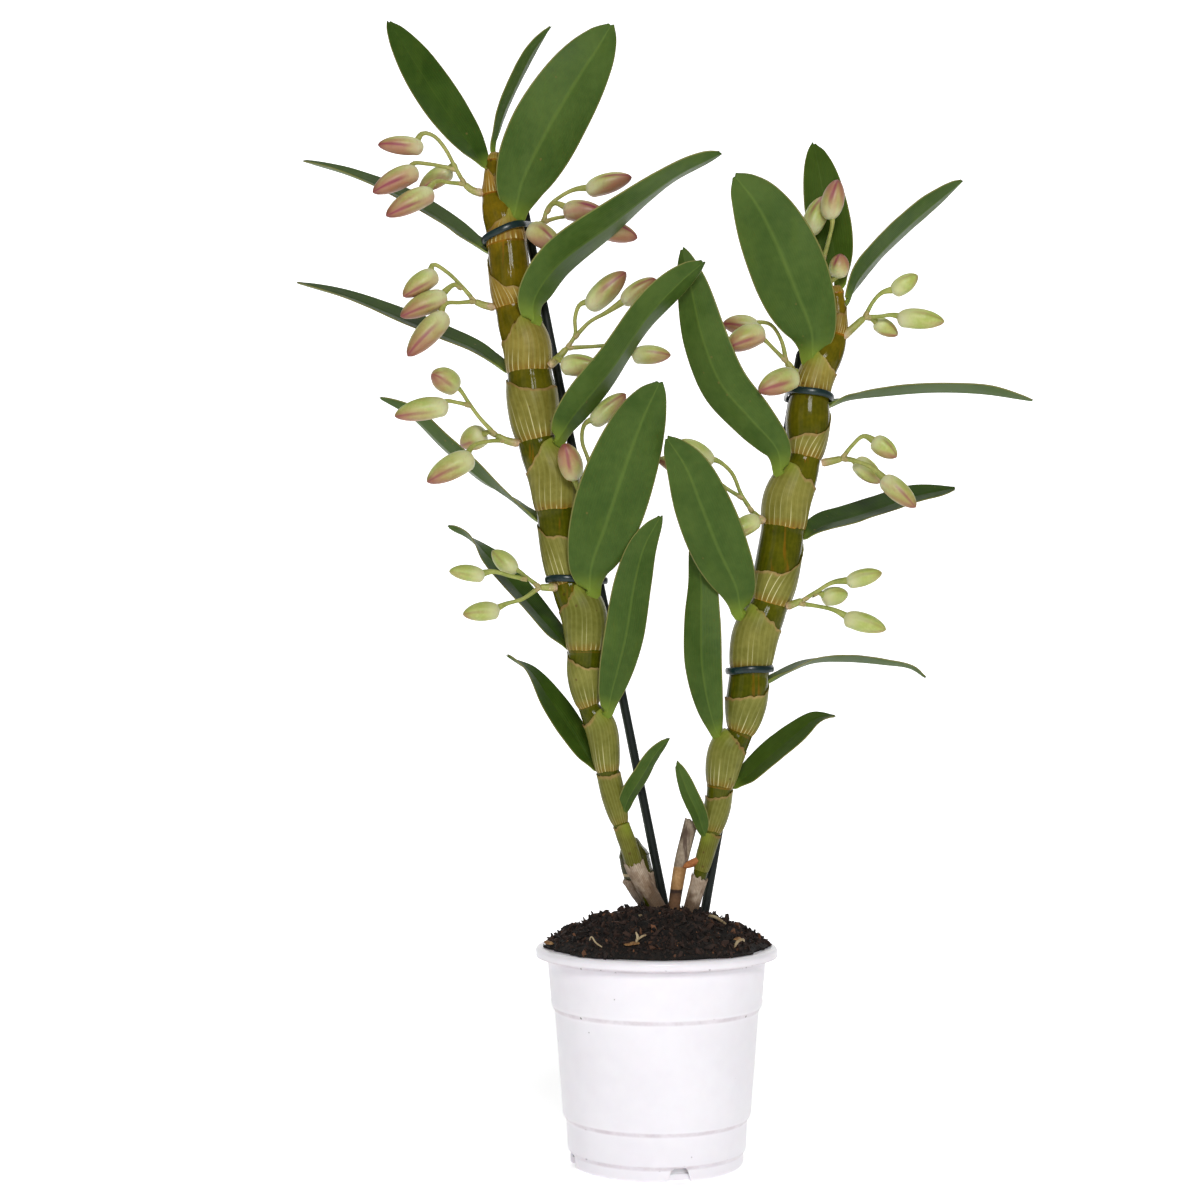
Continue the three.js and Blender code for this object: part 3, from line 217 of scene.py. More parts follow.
RIGHT_SPRAYS = [
  {"stalk": [[65, -3, 274], [69, -4, 275.5], [73, -5, 277]], "buds": [
    {"stem": [[73, -5, 277], [80, -6, 281.5], [88, -6, 286]],
      "heel": [94.5, -7, 285.5], "tip": [112, -9, 290.5], "radius": 4.4},
    {"stem": [[77.5, -6, 279.5], [81, -3, 281]],
      "heel": [83, -1, 278], "tip": [96.5, 2, 280.5], "radius": 4.8},
    {"stem": [[71.5, -5, 275.5], [80, -8, 274], [88, -10, 272]],
      "heel": [92.5, -11, 268], "tip": [113, -14, 262], "radius": 4.9},
  ]},
  {"stalk": [[54, -4, 316.5], [50.5, -5, 318.5], [48, -6, 321]], "buds": [
    {"stem": [[50.5, -5, 318.5], [49, -8, 319.5]],
      "heel": [51, -9, 317.5], "tip": [35, -13, 307.5], "radius": 4.9},
    {"stem": [[48, -6, 321], [42.5, -5, 330], [38, -5, 340.5], [31.5, -5, 346.5]],
      "heel": [28.5, -5, 345.5], "tip": [12, -6, 357], "radius": 4.6},
    {"stem": [[43.5, -5, 328], [37, -4, 332], [31, -4, 336]],
      "heel": [25, -4, 338.5], "tip": [0.5, -6, 347.5], "radius": 5},
  ]},
  {"stalk": [[83, -3, 346], [88.5, -4, 347], [93, -5, 348]], "buds": [
    {"stem": [[93, -5, 348], [98, -6, 354.5], [103.5, -7, 359]],
      "heel": [108, -7, 357], "tip": [119.5, -10, 348], "radius": 4.9},
    {"stem": [[93, -5, 348], [97.5, -2, 348]],
      "heel": [100, -1, 347.5], "tip": [113, 2, 336.5], "radius": 5.2},
    {"stem": [[93, -5, 348], [100.5, -8, 346], [107, -10, 343]],
      "heel": [112, -11, 337.5], "tip": [128, -15, 322.5], "radius": 5.2},
  ]},
  {"stalk": [[71, -3, 388], [67.5, -4, 394], [65.5, -4, 397]], "buds": [
    {"stem": [[65.5, -4, 397], [59.5, -6, 402.5], [54.5, -8, 407]],
      "heel": [54, -9, 411.5], "tip": [34.5, -13, 402], "radius": 6.2},
    {"stem": [[65.5, -4, 397], [63, -2, 408.5], [58, 0, 416.5], [52.5, 2, 418]],
      "heel": [52, 3, 415.5], "tip": [34, 4, 417.5], "radius": 5.2},
    {"stem": [[69, -5, 390.5], [70, -9, 391.5]],
      "heel": [70, -13, 388], "tip": [50, -23, 379], "radius": 6.3},
  ]},
  {"stalk": [[94, -2, 409.5], [100, -3, 415], [105, -4, 419.5]], "buds": [
    {"stem": [[105, -4, 419.5], [109, -5, 427], [113.5, -6, 431.5]],
      "heel": [118.5, -7, 431], "tip": [131, -9, 439.5], "radius": 4.6},
    {"stem": [[105, -4, 419.5], [112.5, -6, 419.5], [118, -7, 420]],
      "heel": [120.5, -8, 418], "tip": [143.5, -12, 415.5], "radius": 5.2},
    {"stem": [[105, -4, 419.5], [109, -1, 419]],
      "heel": [110.5, 1, 418], "tip": [122.5, 3, 411.5], "radius": 4.2},
  ]},
  {"stalk": [[87.5, -2, 433], [85.5, -3, 440], [84, -4, 447.5]], "buds": [
    {"stem": [[84, -4, 447.5], [82, -4, 455], [78.5, -3, 461.5]],
      "heel": [77, -2, 461.5], "tip": [85.5, -1, 481.5], "radius": 5.8},
    {"stem": [[84, -4, 447.5], [86.5, -7, 457], [88.5, -8, 467]],
      "heel": [86.5, -8, 468], "tip": [91, -11, 487.5], "radius": 5.7},
    {"stem": [[86.5, -3, 437], [89, -6, 438]],
      "heel": [91, -7, 438.5], "tip": [92.5, -9, 450.5], "radius": 5.2},
  ]},
]
# How far each sheath reaches up its internode: on the side of its leaf, opposite, and
# how amber and how pale it is.
LEFT_SHEATHS = [
    (0.97, 0.97, 0.0, 0.9), (0.98, 0.95, 0.0, 0.6), (0.92, 0.84, 0.0, 0.25), (0.97, 0.70, 0.0, 0.15),
    (0.95, 0.72, 0.0, 0.1), (0.85, 0.62, 0.05, 0.1), (0.95, 0.70, 0.1, 0.1), (0.90, 0.74, 0.15, 0.1),
    (0.85, 0.55, 0.3, 0.1), (0.75, 0.24, 0.7, 0.0), (0.62, 0.24, 0.9, 0.0), (0.60, 0.52, 1.0, 0.0),
]
RIGHT_SHEATHS = [
    (0.97, 0.97, 0.0, 0.9), (0.90, 0.78, 0.0, 0.4), (0.92, 0.83, 0.0, 0.15), (0.85, 0.55, 0.0, 0.1),
    (0.90, 0.74, 0.05, 0.1), (0.78, 0.38, 0.05, 0.1), (0.85, 0.70, 0.1, 0.1), (0.70, 0.28, 0.15, 0.1),
    (0.60, 0.42, 0.35, 0.0), (0.50, 0.46, 0.55, 0.0),
]
# How pink the buds of each spray are.
LEFT_FLUSH = [0.15, 0.6, 0.4, 0.5, 0.7, 0.85, 0.75]
RIGHT_FLUSH = [0.1, 0.35, 0.5, 0.75, 0.3, 0.7]

# Both ends of each stake.
LEFT_STAKE = [[12.5, 24, 85], [-68, 8, 484]]
RIGHT_STAKE = [[18.5, 14.5, 85], [75.5, 21, 407]]
STAKE_RADIUS = 2.25
# Middle and radius along the old growth.
OLD_BULB = [[2, 26, 110, 3], [-3, 26, 124, 5], [-7, 24, 134, 7], [-10, 23, 144, 7.6],
    [-11, 23, 152, 6.4], [-10, 23, 157.5, 3.4]]
DRY_STUB = [[7, 5, 110, 3], [9, 6, 124, 3], [12.5, 8, 145, 3.2], [18, 10, 167, 3.4]]
BULB_RINGS = (138.5, 148.5)  # heights of the rings round the old bulb
# Flakes of tan bark: middle, length, width and turn.
TAN_FLAKES = [(-13, -44, 112.4, 8, 5.5, 0.5), (-53, -18, 109.6, 6, 3.4, 2.2), (38, -28, 112.5, 7, 3, 1.1),
    (8, -40, 112, 4, 2, 2.8), (-22, -20, 117, 5, 2.2, 0.2)]
# Middle and radius along each root tip or hair.
ROOT_TIPS = [
    [[-33, -40, 113.5, 0.35], [-32, -42, 115.5, 0.35], [-30, -44, 113, 0.35], [-27, -45, 111, 0.3]],
    [[36, -38, 110, 0.6], [37.5, -39, 112.8, 0.7], [40, -37, 113.6, 0.6], [41, -34, 112.2, 0.5]],
    [[-11, -44, 113, 0.6], [-10.2, -44.5, 115.5, 0.7], [-11, -44, 118, 0.4]],
    [[-10, -44, 114.5, 0.5], [-8, -44.5, 116, 0.5], [-6, -44, 116.6, 0.4]],
    [[-2, -6, 120, 0.7], [-8, -9, 121.4, 0.8], [-15, -10, 120, 0.7], [-19, -12, 117, 0.6]],
    [[22, 0, 120, 0.7], [28, -4, 120.6, 0.8], [34, -9, 117.5, 0.6]],
]

# How finely the pieces are drawn, in rows along them and columns round them.
INTERNODE_ROWS, TIP_ROWS, CORE_COLUMNS, COLUMNS = 60, 13, 48, 96
ROD_ROWS, BUD_ROWS, BUD_COLUMNS = 26, 30, 36
POT_COLUMNS, MIX_ROWS, MIX_COLUMNS = 144, 60, 200
BULB_ROWS, BULB_COLUMNS, STUB_ROWS, STUB_COLUMNS = 60, 48, 40, 40
STAKE_COLUMNS, TIE_ROWS, TIE_COLUMNS = 24, 140, 20

RING_RELIEF = 0.35  # how far a node's ring stands out
RIBS, RIB_RELIEF = 24, 0.12
SHEATH_LIFT, SHEATH_WALL, SHEATH_FLARE = 0.32, 0.22, 0.32
LEFT_HUSK, RIGHT_HUSK, HUSK_LIFT = 145.5, 138.5, 0.7  # tops of the torn sheaths, and how far they stand off
BRACT_HALF = 0.12  # half the thickness of a bract
TIE_HALF_WIDTH, TIE_HALF_HEIGHT = 0.75, 1.75
TIE_REACH = 1.6  # from a post to the middle of the tube round it
SHEATH_ROOM = 0.3

LEAF_ROOT = 2.5  # how far a blade's foot reaches into its sheath
LEAF_MIDRIB = 1.1  # thickness along the middle
LEAF_EDGE = 0.6
LEAF_ROUND = 0.28  # how far the rounded edge stands out
LEAF_CHANNEL, LEAF_FOLD, LEAF_RIPPLE = 0.2, 0.55, 0.035  # as parts of the half width
MIDRIB_DEPTH, VEIN_RELIEF, VEIN_PACE = 0.3, 0.05, 0.8
# Columns across one side of a blade, from edge to edge.
ACROSS = np.array([-1, -0.93, -0.8, -0.6, -0.4, -0.22, -0.09, 0, 0.09, 0.22, 0.4, 0.6, 0.8, 0.93, 1])
# Half width of a blade along its length, as a part of its greatest width.
BLADE_OUTLINE = [(0, 0.13), (0.05, 0.17), (0.14, 0.31), (0.27, 0.44), (0.42, 0.5), (0.57, 0.49),
    (0.72, 0.43), (0.85, 0.325), (0.93, 0.215), (0.975, 0.13), (1, 0.06)]
# Radius of a bud along its length, as a part of its greatest radius.
BUD_OUTLINE = [(0, 0.14), (0.02, 0.38), (0.07, 0.62), (0.16, 0.83), (0.3, 0.97), (0.46, 1), (0.62, 0.94),
    (0.78, 0.76), (0.9, 0.5), (0.96, 0.3), (1, 0.04)]

MOUTH_RADIUS = 53
HEAP_TOP, HEAP_EDGE = 122, 108.4
DRAIN_HOLES, DRAIN_RADIUS, DRAIN_CIRCLE = 8, 4, 27
ARCHES, ARCH_TURN, ARCH_WIDTH, ARCH_HEIGHT = 4, -77, 13, 7.2
DRAIN_SPAN, ARCH_SPAN = (-2, 5.2), (38.6, 47.5)  # where each cut starts and ends
WEB_RADII, WEB_HEIGHTS, WEB_TURN = (37.4, 38.3), (0.3, 7.9), 0.24
POT_STEPS = (0.0069, 0.0229, 0.0760, 0.1008)  # heights of its creases, in metres
# Outline of the pot's wall: radius, height and rounding of each corner.
POT_OUTLINE = [
    (14, 0, 0.2), (16, 1.8, 0.3), (37.1, 1.8, 0.3), (39.6, 0, 0.3), (41.6, 0, 0.4), (42.6, 1.2, 0.4),
    (42.6, 6.2, 0.5), (44, 7.6, 0.5), (44.6, 21.5, 0.9), (46.4, 24.2, 0.9), (50.4, 74.2, 0.9),
    (52.1, 77.8, 0.9), (54.2, 100.2, 0.8), (54.6, 104.6, 0.4), (58.8, 104.6, 0.4), (58.8, 101.3, 0.2),
    (59.7, 101.3, 0.2), (59.95, 104.4, 0.9), (58.8, 105.95, 0.9), (53, 106, 0.8), (51.7, 99, 0.8),
    (50.9, 77.8, 0.8), (49.2, 74.2, 0.8), (45.2, 24.2, 0.6), (43.4, 21.5, 0.6), (42.8, 7.6, 0.3),
    (41.4, 6.2, 0.3), (41.4, 3.3, 0.5), (15, 3.3, 0.5), (13, 1.5, 0.3),
]

# Name, power, size and place of each lamp, in watts and metres.
LAMPS = [("key", 9.5, 0.36, (0.12, -1.3, 0.8)), ("fill", 0.8, 0.7, (-0.9, -1.1, 0.6)),
    ("top", 3.0, 0.6, (0.05, 0.1, 1.5))]
LENS, SENSOR = 57, 36
CAMERA_PLACE, CAMERA_TILT = (-0.028, -0.950, 0.231), 92.80

# ---------------------------------------------------------------- small sums


def unit(vectors):
    """The same ways at length one."""
    return vectors / np.maximum(np.linalg.norm(vectors, axis=-1, keepdims=True), 1e-9)


def circle(count):
    """Even angles round a circle."""
    return np.linspace(0, TURN, count, endpoint=False)


def smooth(low, high, value):
    """Soft step from 0 at low to 1 at high."""
    t = np.clip((value - low) / (high - low), 0, 1)
    return t * t * (3 - 2 * t)


def bell(offset, width):
    """Bell curve, 1 at no offset."""
    return np.exp(-((offset / width) ** 2))


def wave_noise(seed, *where):
    """Cheap smooth noise from -1 to 1: a few sines of unlike pace through the given values."""
    dice = np.random.default_rng(seed)
    total = 0
    for octave in range(5):
        phase = dice.uniform(0, TURN)
        for value in where:
            phase = phase + value * dice.uniform(0.6, 1.9) * 1.6**octave
        total = total + np.sin(phase) * 0.7**octave
    return total / 2.4


def curve_at(points, places):
    """Points at places from 0 to 1 on a smooth curve; every gap between control points counts alike."""
    p = np.asarray(points, float)
    last = len(p) - 1
    p = np.vstack([2 * p[0] - p[1], p, 2 * p[-1] - p[-2]])
    place = np.clip(np.asarray(places, float), 0, 1) * last
    k = np.minimum(place.astype(int), last - 1)
    w = (place - k)[:, None]
    gaps = np.maximum(np.linalg.norm(np.diff(p[:, :3], axis=0), axis=1), 1e-6) ** 0.5
    d0, d1, d2 = (gaps[k + i][:, None] for i in range(3))
    p0, p1, p2, p3 = (p[k + i] for i in range(4))
    m1 = ((p1 - p0) / d0 - (p2 - p0) / (d0 + d1) + (p2 - p1) / d1) * d1
    m2 = ((p2 - p1) / d1 - (p3 - p1) / (d1 + d2) + (p3 - p2) / d2) * d1
    return p1 + w * (m1 + w * (3 * (p2 - p1) - 2 * m1 - m2 + w * (2 * (p1 - p2) + m1 + m2)))


def run_along(points):
    """Distance of each point from the first, along the line."""
    return np.r_[0, np.cumsum(np.linalg.norm(np.diff(points, axis=0), axis=1))]


def along(points, parts):
    """Points at parts of the length, from 0 to 1, of the same curve."""
    places = np.linspace(0, 1, 500)
    run = run_along(curve_at(points, places)[:, :3])
    return curve_at(points, np.interp(np.asarray(parts) * run[-1], run, places))


def outline_at(outline, parts):
    """Smooth value of an outline, given as pairs of place and size."""
    fine = curve_at([(a, b, 0) for a, b in outline], np.linspace(0, 1, 300))
    return np.interp(parts, fine[:, 0], fine[:, 1])


def bow_at(heel, middle, tip, w):
    """Points at parts w of a simple bow from heel to tip."""
    return (1 - w) ** 2 * heel + 2 * w * (1 - w) * middle + w**2 * tip


def ways_across(line):
    """Two ways across at each point of a line, without sudden turns."""
    ahead = unit(np.gradient(line, axis=0))
    hint = np.array([1.0, 0, 0]) if abs(ahead[0][1]) > 0.9 else np.array([0, 1.0, 0])
    side, sides = np.cross(hint, ahead[0]), []
    for t in ahead:
        side = unit(side - (side @ t) * t)
        sides.append(side)
    sides = np.array(sides)
    return sides, np.cross(ahead, sides)


def spokes(side, back, angle):
    """Ways outwards at the given angles, rows by columns."""
    return side[:, None] * np.cos(angle)[..., None] + back[:, None] * np.sin(angle)[..., None]


def rings(line, radius, columns):
    """Rings of points round a line; radius is one per row, or rows by columns."""
    side, back = ways_across(line)
    return line[:, None] + spokes(side, back, circle(columns)[None, :]) * radius[..., None]


def volume_under(corners):
    """Six times the signed volume under triangles, given as count by 3 by 3."""
    return np.einsum("ij,ij->i", corners[:, 0], np.cross(corners[:, 1], corners[:, 2])).sum()


class Draft:
    """Collects closed skins of points into one mesh, with a flow map and named values."""

    def __init__(self, *names):
        self.points, self.values, self.count = [], {name: [] for name in names}, 0
        self.faces, self.flows, self.slots = ({3: [], 4: []} for _ in range(3))

    @staticmethod
    def band(rows, columns, u, v, ring):
        """Quads between neighbouring rows, and their corners in the flow map."""
        k = np.arange(rows if ring else rows - 1)[:, None]
        j = np.arange(columns)[None, :]
        here, above, turn = k * columns, (k + 1) % rows * columns, (j + 1) % columns
        quads = np.stack([here + j, here + turn, above + turn, above + j], -1)
        corners = [(u[j], v[k]), (u[j + 1], v[k]), (u[j + 1], v[k + 1]), (u[j], v[k + 1])]
        flow = np.stack([np.stack(np.broadcast_arrays(*corner), -1) for corner in corners], -2)
        return quads.reshape(-1, 4), flow.reshape(-1, 4, 2)

    @staticmethod
    def ends(rows, columns, u, v):
        """Fans that close the first and last rows on the two points that follow the grid."""
        j = np.arange(columns)
        turn, last, hub = (j + 1) % columns, (rows - 1) * columns, np.full(columns, rows * columns)
        fans = np.vstack([np.stack([turn, j, hub], -1), np.stack([last + j, last + turn, hub + 1], -1)])
        middle, low, high = (u[:-1] + u[1:]) / 2, np.full(columns, v[0]), np.full(columns, v[-1])
        flow = np.concatenate([np.stack([u[1:], low, u[:-1], low, middle, low], -1),
            np.stack([u[:-1], high, u[1:], high, middle, high], -1)])
        return fans, flow.reshape(-1, 3, 2)

    def add(self, points, u=None, v=None, ring=False, material=0, **values):
        """Adds rows by columns of points, closed round each row; with ring the last row meets
        the first, else a fan closes each end."""
        rows, columns = points.shape[:2]
        u = np.linspace(0, 1, columns + 1) if u is None else np.asarray(u, float)
        v = np.linspace(0, 1, rows + ring) if v is None else np.asarray(v, float)
        flat = points.reshape(-1, 3)
        quads, flow = self.band(rows, columns, u, v, ring)
        fans, fan_flow = np.zeros((0, 3), int), np.zeros((0, 3, 2))
        if not ring:
            flat = np.vstack([flat, points[0].mean(0), points[-1].mean(0)])
            fans, fan_flow = self.ends(rows, columns, u, v)
        volume = volume_under(flat[quads[:, :3]]) + volume_under(flat[quads[:, [0, 2, 3]]])
        if volume + volume_under(flat[fans]) < 0:
            quads, flow, fans, fan_flow = (part[:, ::-1] for part in (quads, flow, fans, fan_flow))
        for size, faces, at in ((4, quads, flow), (3, fans, fan_flow)):
            self.faces[size].append(faces + self.count)
            self.flows[size].append(at)
            self.slots[size].append(np.full(len(faces), material))
        for name, kept in self.values.items():
            grid = np.broadcast_to(np.asarray(values.get(name, 0.0), float), (rows, columns))
            kept.append(np.r_[grid.ravel(), [] if ring else [grid[0].mean(), grid[-1].mean()]])
        self.points.append(flat)
        self.count += len(flat)

    def build(self, name, materials, smooth_faces=True):
        """The piece, with the flow map and the named values on its mesh for the materials."""
        quads, fans = np.concatenate(self.faces[4]), np.concatenate(self.faces[3])
        corners = np.r_[quads.ravel(), fans.ravel()]
        starts = np.r_[np.arange(len(quads)) * 4, len(quads) * 4 + np.arange(len(fans)) * 3]
        flow = np.r_[np.concatenate(self.flows[4]).ravel(), np.concatenate(self.flows[3]).ravel()]
        slots = np.r_[np.concatenate(self.slots[4]), np.concatenate(self.slots[3])]
        mesh = bpy.data.meshes.new(name)
        mesh.vertices.add(self.count)
        mesh.vertices.foreach_set("co", (np.concatenate(self.points) * MM).ravel())
        mesh.loops.add(len(corners))
        mesh.loops.foreach_set("vertex_index", corners.astype(np.int32))
        mesh.polygons.add(len(starts))
        mesh.polygons.foreach_set("loop_start", starts.astype(np.int32))
        mesh.uv_layers.new(name="flow").data.foreach_set("uv", flow)
        for key, kept in self.values.items():
            values = np.concatenate(kept).astype(np.float32)
            mesh.attributes.new(key, "FLOAT", "POINT").data.foreach_set("value", values)
        for material in materials:
            mesh.materials.append(material)
        mesh.polygons.foreach_set("material_index", slots.astype(np.int32))
        mesh.polygons.foreach_set("use_smooth", np.full(len(starts), smooth_faces))
        mesh.update()
        mesh.validate()
        return stand(f"{name}_skin", mesh)


def stand(name, data):
    """New object in the scene."""
    made = bpy.data.objects.new(name, data)
    bpy.context.scene.collection.objects.link(made)
    return made


def dress(piece, slot, *nodes):
    """The piece rides the plant and stands for these nodes; slot is not used."""
    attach(piece, "root")
    if nodes:
        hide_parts(*nodes)
    return piece


# ---------------------------------------------------------------- shading


def colour(red, green, blue):
    """Screen colour from 0 to 255 as a linear one."""
    parts = [c / 255 for c in (red, green, blue)]
    return (*(c / 12.92 if c <= 0.04045 else ((c + 0.055) / 1.055) ** 2.4 for c in parts), 1.0)


class Wires:
    """Shorthand for adding and linking nodes in one tree."""

    def __init__(self, tree):
        self.tree = tree

    def node(self, kind, inputs=None, **settings):
        node = self.tree.nodes.new(kind)
        for key, value in settings.items():
            setattr(node, key, value)
        for key, value in (inputs or {}).items():
            self.feed(node, key, value)
        return node

    def feed(self, node, key, value):
        if isinstance(value, bpy.types.NodeSocket):
            self.tree.links.new(value, node.inputs[key])
        else:
            node.inputs[key].default_value = value

    def value(self, name):
        """A named value of the mesh."""
        return self.node("ShaderNodeAttribute", attribute_name=name).outputs["Fac"]

    def math(self, operation, *values):
        return self.node("ShaderNodeMath", dict(enumerate(values)), operation=operation).outputs[0]

    def times(self, first, second):
        return self.math("MULTIPLY", first, second)

    def mix(self, factor, first, second):
        return self.node("ShaderNodeMix", {0: factor, 6: first, 7: second}, data_type="RGBA").outputs[2]

    def span(self, value, low, high, to_low=0.0, to_high=1.0):
        """Soft step between two values."""
        given = {0: value, 1: low, 2: high, 3: to_low, 4: to_high}
        return self.node("ShaderNodeMapRange", given, interpolation_type="SMOOTHSTEP").outputs[0]

    def close_to(self, value, middle, gone, full):
        """1 within full of the middle value, 0 beyond gone."""
        return self.span(self.math("ABSOLUTE", self.math("SUBTRACT", value, middle)), gone, full)

    def noise(self, vector, scale, detail=3.0, stretch=None):
        if stretch is not None:
            stretched = self.node("ShaderNodeVectorMath", {0: vector, 1: stretch}, operation="MULTIPLY")
            vector = stretched.outputs[0]
        given = {"Vector": vector, "Scale": scale, "Detail": detail}
        return self.node("ShaderNodeTexNoise", given).outputs["Fac"]

    def bump(self, height, strength, distance):
        given = {"Height": height, "Strength": strength, "Distance": distance}
        return self.node("ShaderNodeBump", given).outputs["Normal"]

    def flow(self):
        """Across and along of the flow map."""
        source = self.node("ShaderNodeUVMap", uv_map="flow")
        split = self.node("ShaderNodeSeparateXYZ", {0: source.outputs[0]})
        return split.outputs[0], split.outputs[1]

    def place(self):
        return self.node("ShaderNodeTexCoord").outputs["Object"]

    def height(self):
        """Height above the surface the pot stands on, in metres."""
        return self.node("ShaderNodeSeparateXYZ", {0: self.place()}).outputs[2]

    def group(self, tree, **inputs):
        return self.node("ShaderNodeGroup", inputs, node_tree=tree).outputs[0]


def new_group(name, kind, inputs, outputs):
    """Empty node group with named inputs and outputs, its wires and its two end nodes."""
    tree = bpy.data.node_groups.new(name, kind)
    for key, socket_type, value in inputs:
        socket = tree.interface.new_socket(name=key, in_out="INPUT", socket_type=socket_type)
        if value is not None:
            socket.default_value = value
    for key, socket_type in outputs:
        tree.interface.new_socket(name=key, in_out="OUTPUT", socket_type=socket_type)
    w = Wires(tree)
    return w, w.node("NodeGroupInput").outputs, w.node("NodeGroupOutput")


def make_mottle():
    """Soft patches of two sizes, from 0 to 1."""
    w, given, result = new_group("Mottle", "ShaderNodeTree",
        [("Vector", "NodeSocketVector", None), ("Scale", "NodeSocketFloat", 60.0),
            ("Contrast", "NodeSocketFloat", 0.3)],
        [("Patches", "NodeSocketFloat")])
    large = w.noise(given["Vector"], given["Scale"], 2.0)
    small = w.noise(given["Vector"], w.times(given["Scale"], 6.0), 4.0)
    both = w.math("ADD", w.times(large, 0.65), w.times(small, 0.35))
    low, high = w.math("SUBTRACT", 0.5, given["Contrast"]), w.math("ADD", 0.5, given["Contrast"])
    w.feed(result, "Patches", w.span(both, low, high))
    return w.tree


def make_stripes():
    """Fine parallel lines across the flow map that wander a little, from 0 to 1."""
    w, given, result = new_group("Stripes", "ShaderNodeTree",
        [("Across", "NodeSocketFloat", 0.0), ("Count", "NodeSocketFloat", 40.0),
            ("Vector", "NodeSocketVector", None), ("Wander", "NodeSocketFloat", 0.5)],
        [("Lines", "NodeSocketFloat")])
    drift = w.times(w.noise(given["Vector"], 120.0, 2.0), given["Wander"])
    turns = w.math("ADD", w.times(given["Across"], given["Count"]), drift)
    wave = w.math("SINE", w.times(turns, TURN))
    w.feed(result, "Lines", w.math("MULTIPLY_ADD", wave, 0.5, 0.5))
    return w.tree


def make_specks():
    """Scattered small round spots, 1 on a spot."""
    w, given, result = new_group("Specks", "ShaderNodeTree",
        [("Vector", "NodeSocketVector", None), ("Scale", "NodeSocketFloat", 200.0),
            ("Size", "NodeSocketFloat", 0.2), ("Share", "NodeSocketFloat", 0.2)],
        [("Spots", "NodeSocketFloat")])
    cells = w.node("ShaderNodeTexVoronoi", {"Vector": given["Vector"], "Scale": given["Scale"]})
    draw = w.node("ShaderNodeSeparateColor", {0: cells.outputs["Color"]}).outputs[0]
    chosen = w.math("LESS_THAN", draw, given["Share"])
    near = w.span(cells.outputs["Distance"], given["Size"], w.times(given["Size"], 0.5))
    w.feed(result, "Spots", w.times(near, chosen))
    return w.tree


MOTTLE, STRIPES, SPECKS = make_mottle(), make_stripes(), make_specks()


def material(name, paint, roughness=0.5, **fixed):
    """Principled material; paint(w) gives its colour and, if it has them, roughness and normal."""
    made = bpy.data.materials.new(name)
    made.use_nodes = True
    shader = made.node_tree.nodes["Principled BSDF"]
    shader.inputs["Roughness"].default_value = roughness
    for key, value in fixed.items():
        shader.inputs[key.replace("_", " ")].default_value = value
    w = Wires(made.node_tree)
    for key, value in paint(w).items():
        w.feed(shader, key, value)
    return made


# Colours of the finishes. A mottled one has its dark and its light shade.
LEAF_TOP = colour(32, 58, 6), colour(54, 80, 16)
LEAF_UNDER = colour(56, 80, 28), colour(78, 100, 42)
LEAF_YELLOWING, LEAF_VEIN, LEAF_SHEEN = colour(82, 100, 28), colour(88, 110, 40), colour(78, 100, 30)
LEAF_RIB, LEAF_MARGIN, LEAF_FOOT = colour(104, 126, 54), colour(150, 142, 84), colour(128, 148, 52)
LEAF_SCUFF = colour(120, 104, 56)
CANE_GREEN = colour(54, 62, 3), colour(86, 88, 10)
CANE_GOLD = colour(92, 78, 5), colour(136, 106, 14)
CANE_JOINT = colour(84, 50, 10), colour(168, 112, 26)
CANE_LINE, CANE_DRIP, CANE_SPECK = colour(112, 108, 30), colour(160, 92, 20), colour(66, 44, 16)
SHEATH_OLIVE = colour(96, 98, 32), colour(140, 138, 68)
SHEATH_PALE = colour(90, 90, 20), colour(124, 122, 46)
SHEATH_AMBER = colour(146, 104, 32), colour(184, 144, 62)
SHEATH_BASE = colour(122, 84, 18), colour(146, 122, 40)
SHEATH_EDGE = colour(96, 60, 12), colour(206, 150, 46)
SHEATH_RIM = colour(128, 96, 52), colour(176, 150, 96)
SHEATH_LINE, SHEATH_CREST, SHEATH_STREAK = colour(100, 98, 34), colour(172, 170, 96), colour(250, 240, 186)
SHEATH_GREEN, SHEATH_SPECK = colour(132, 144, 46), colour(86, 56, 26)
PAPER = colour(150, 124, 100), colour(212, 194, 172)
PAPER_SOILED = colour(66, 44, 30), colour(112, 84, 52)
PAPER_LINE, PAPER_WORN = colour(120, 92, 62), colour(90, 60, 34)
BUD_GREEN = colour(206, 204, 160), colour(166, 178, 86)
BUD_PINK = colour(186, 128, 108), colour(152, 84, 74)
BUD_PATCH, BUD_BLUSH = colour(198, 202, 132), colour(154, 84, 84)
BUD_SEAM, BUD_TIP = colour(134, 36, 66), colour(122, 50, 52)
STEM_GREEN = colour(118, 134, 42), colour(164, 172, 84)
STEM_DRY = colour(156, 112, 84), colour(216, 186, 152)
STEM_PINK = colour(196, 146, 118)
STAKE_PLASTIC = colour(12, 18, 16), colour(30, 38, 34)
STAKE_HIGHLIGHT = colour(84, 92, 82)
TIE_TUBE = colour(5, 26, 28), colour(12, 44, 42)
POT_WHITE = colour(240, 236, 242), colour(248, 245, 250)
POT_CREASE_SHADE, POT_DIRT = colour(170, 150, 158), colour(74, 58, 50)
SOIL_DARK = colour(10, 8, 6), colour(38, 28, 21)
CHIP_BROWN = colour(14, 9, 7), colour(52, 33, 24)
CHIP_RUSTY, CHIP_GRAIN = colour(124, 82, 54), colour(74, 50, 37)
BARK_TAN = colour(126, 86, 48), colour(190, 150, 96)
ROOT_CREAM = colour(140, 112, 76), colour(196, 180, 144)
BULB_OLIVE = colour(44, 48, 12), colour(78, 78, 24)
BULB_LINE, BULB_RING = colour(104, 92, 36), colour(196, 176, 132)
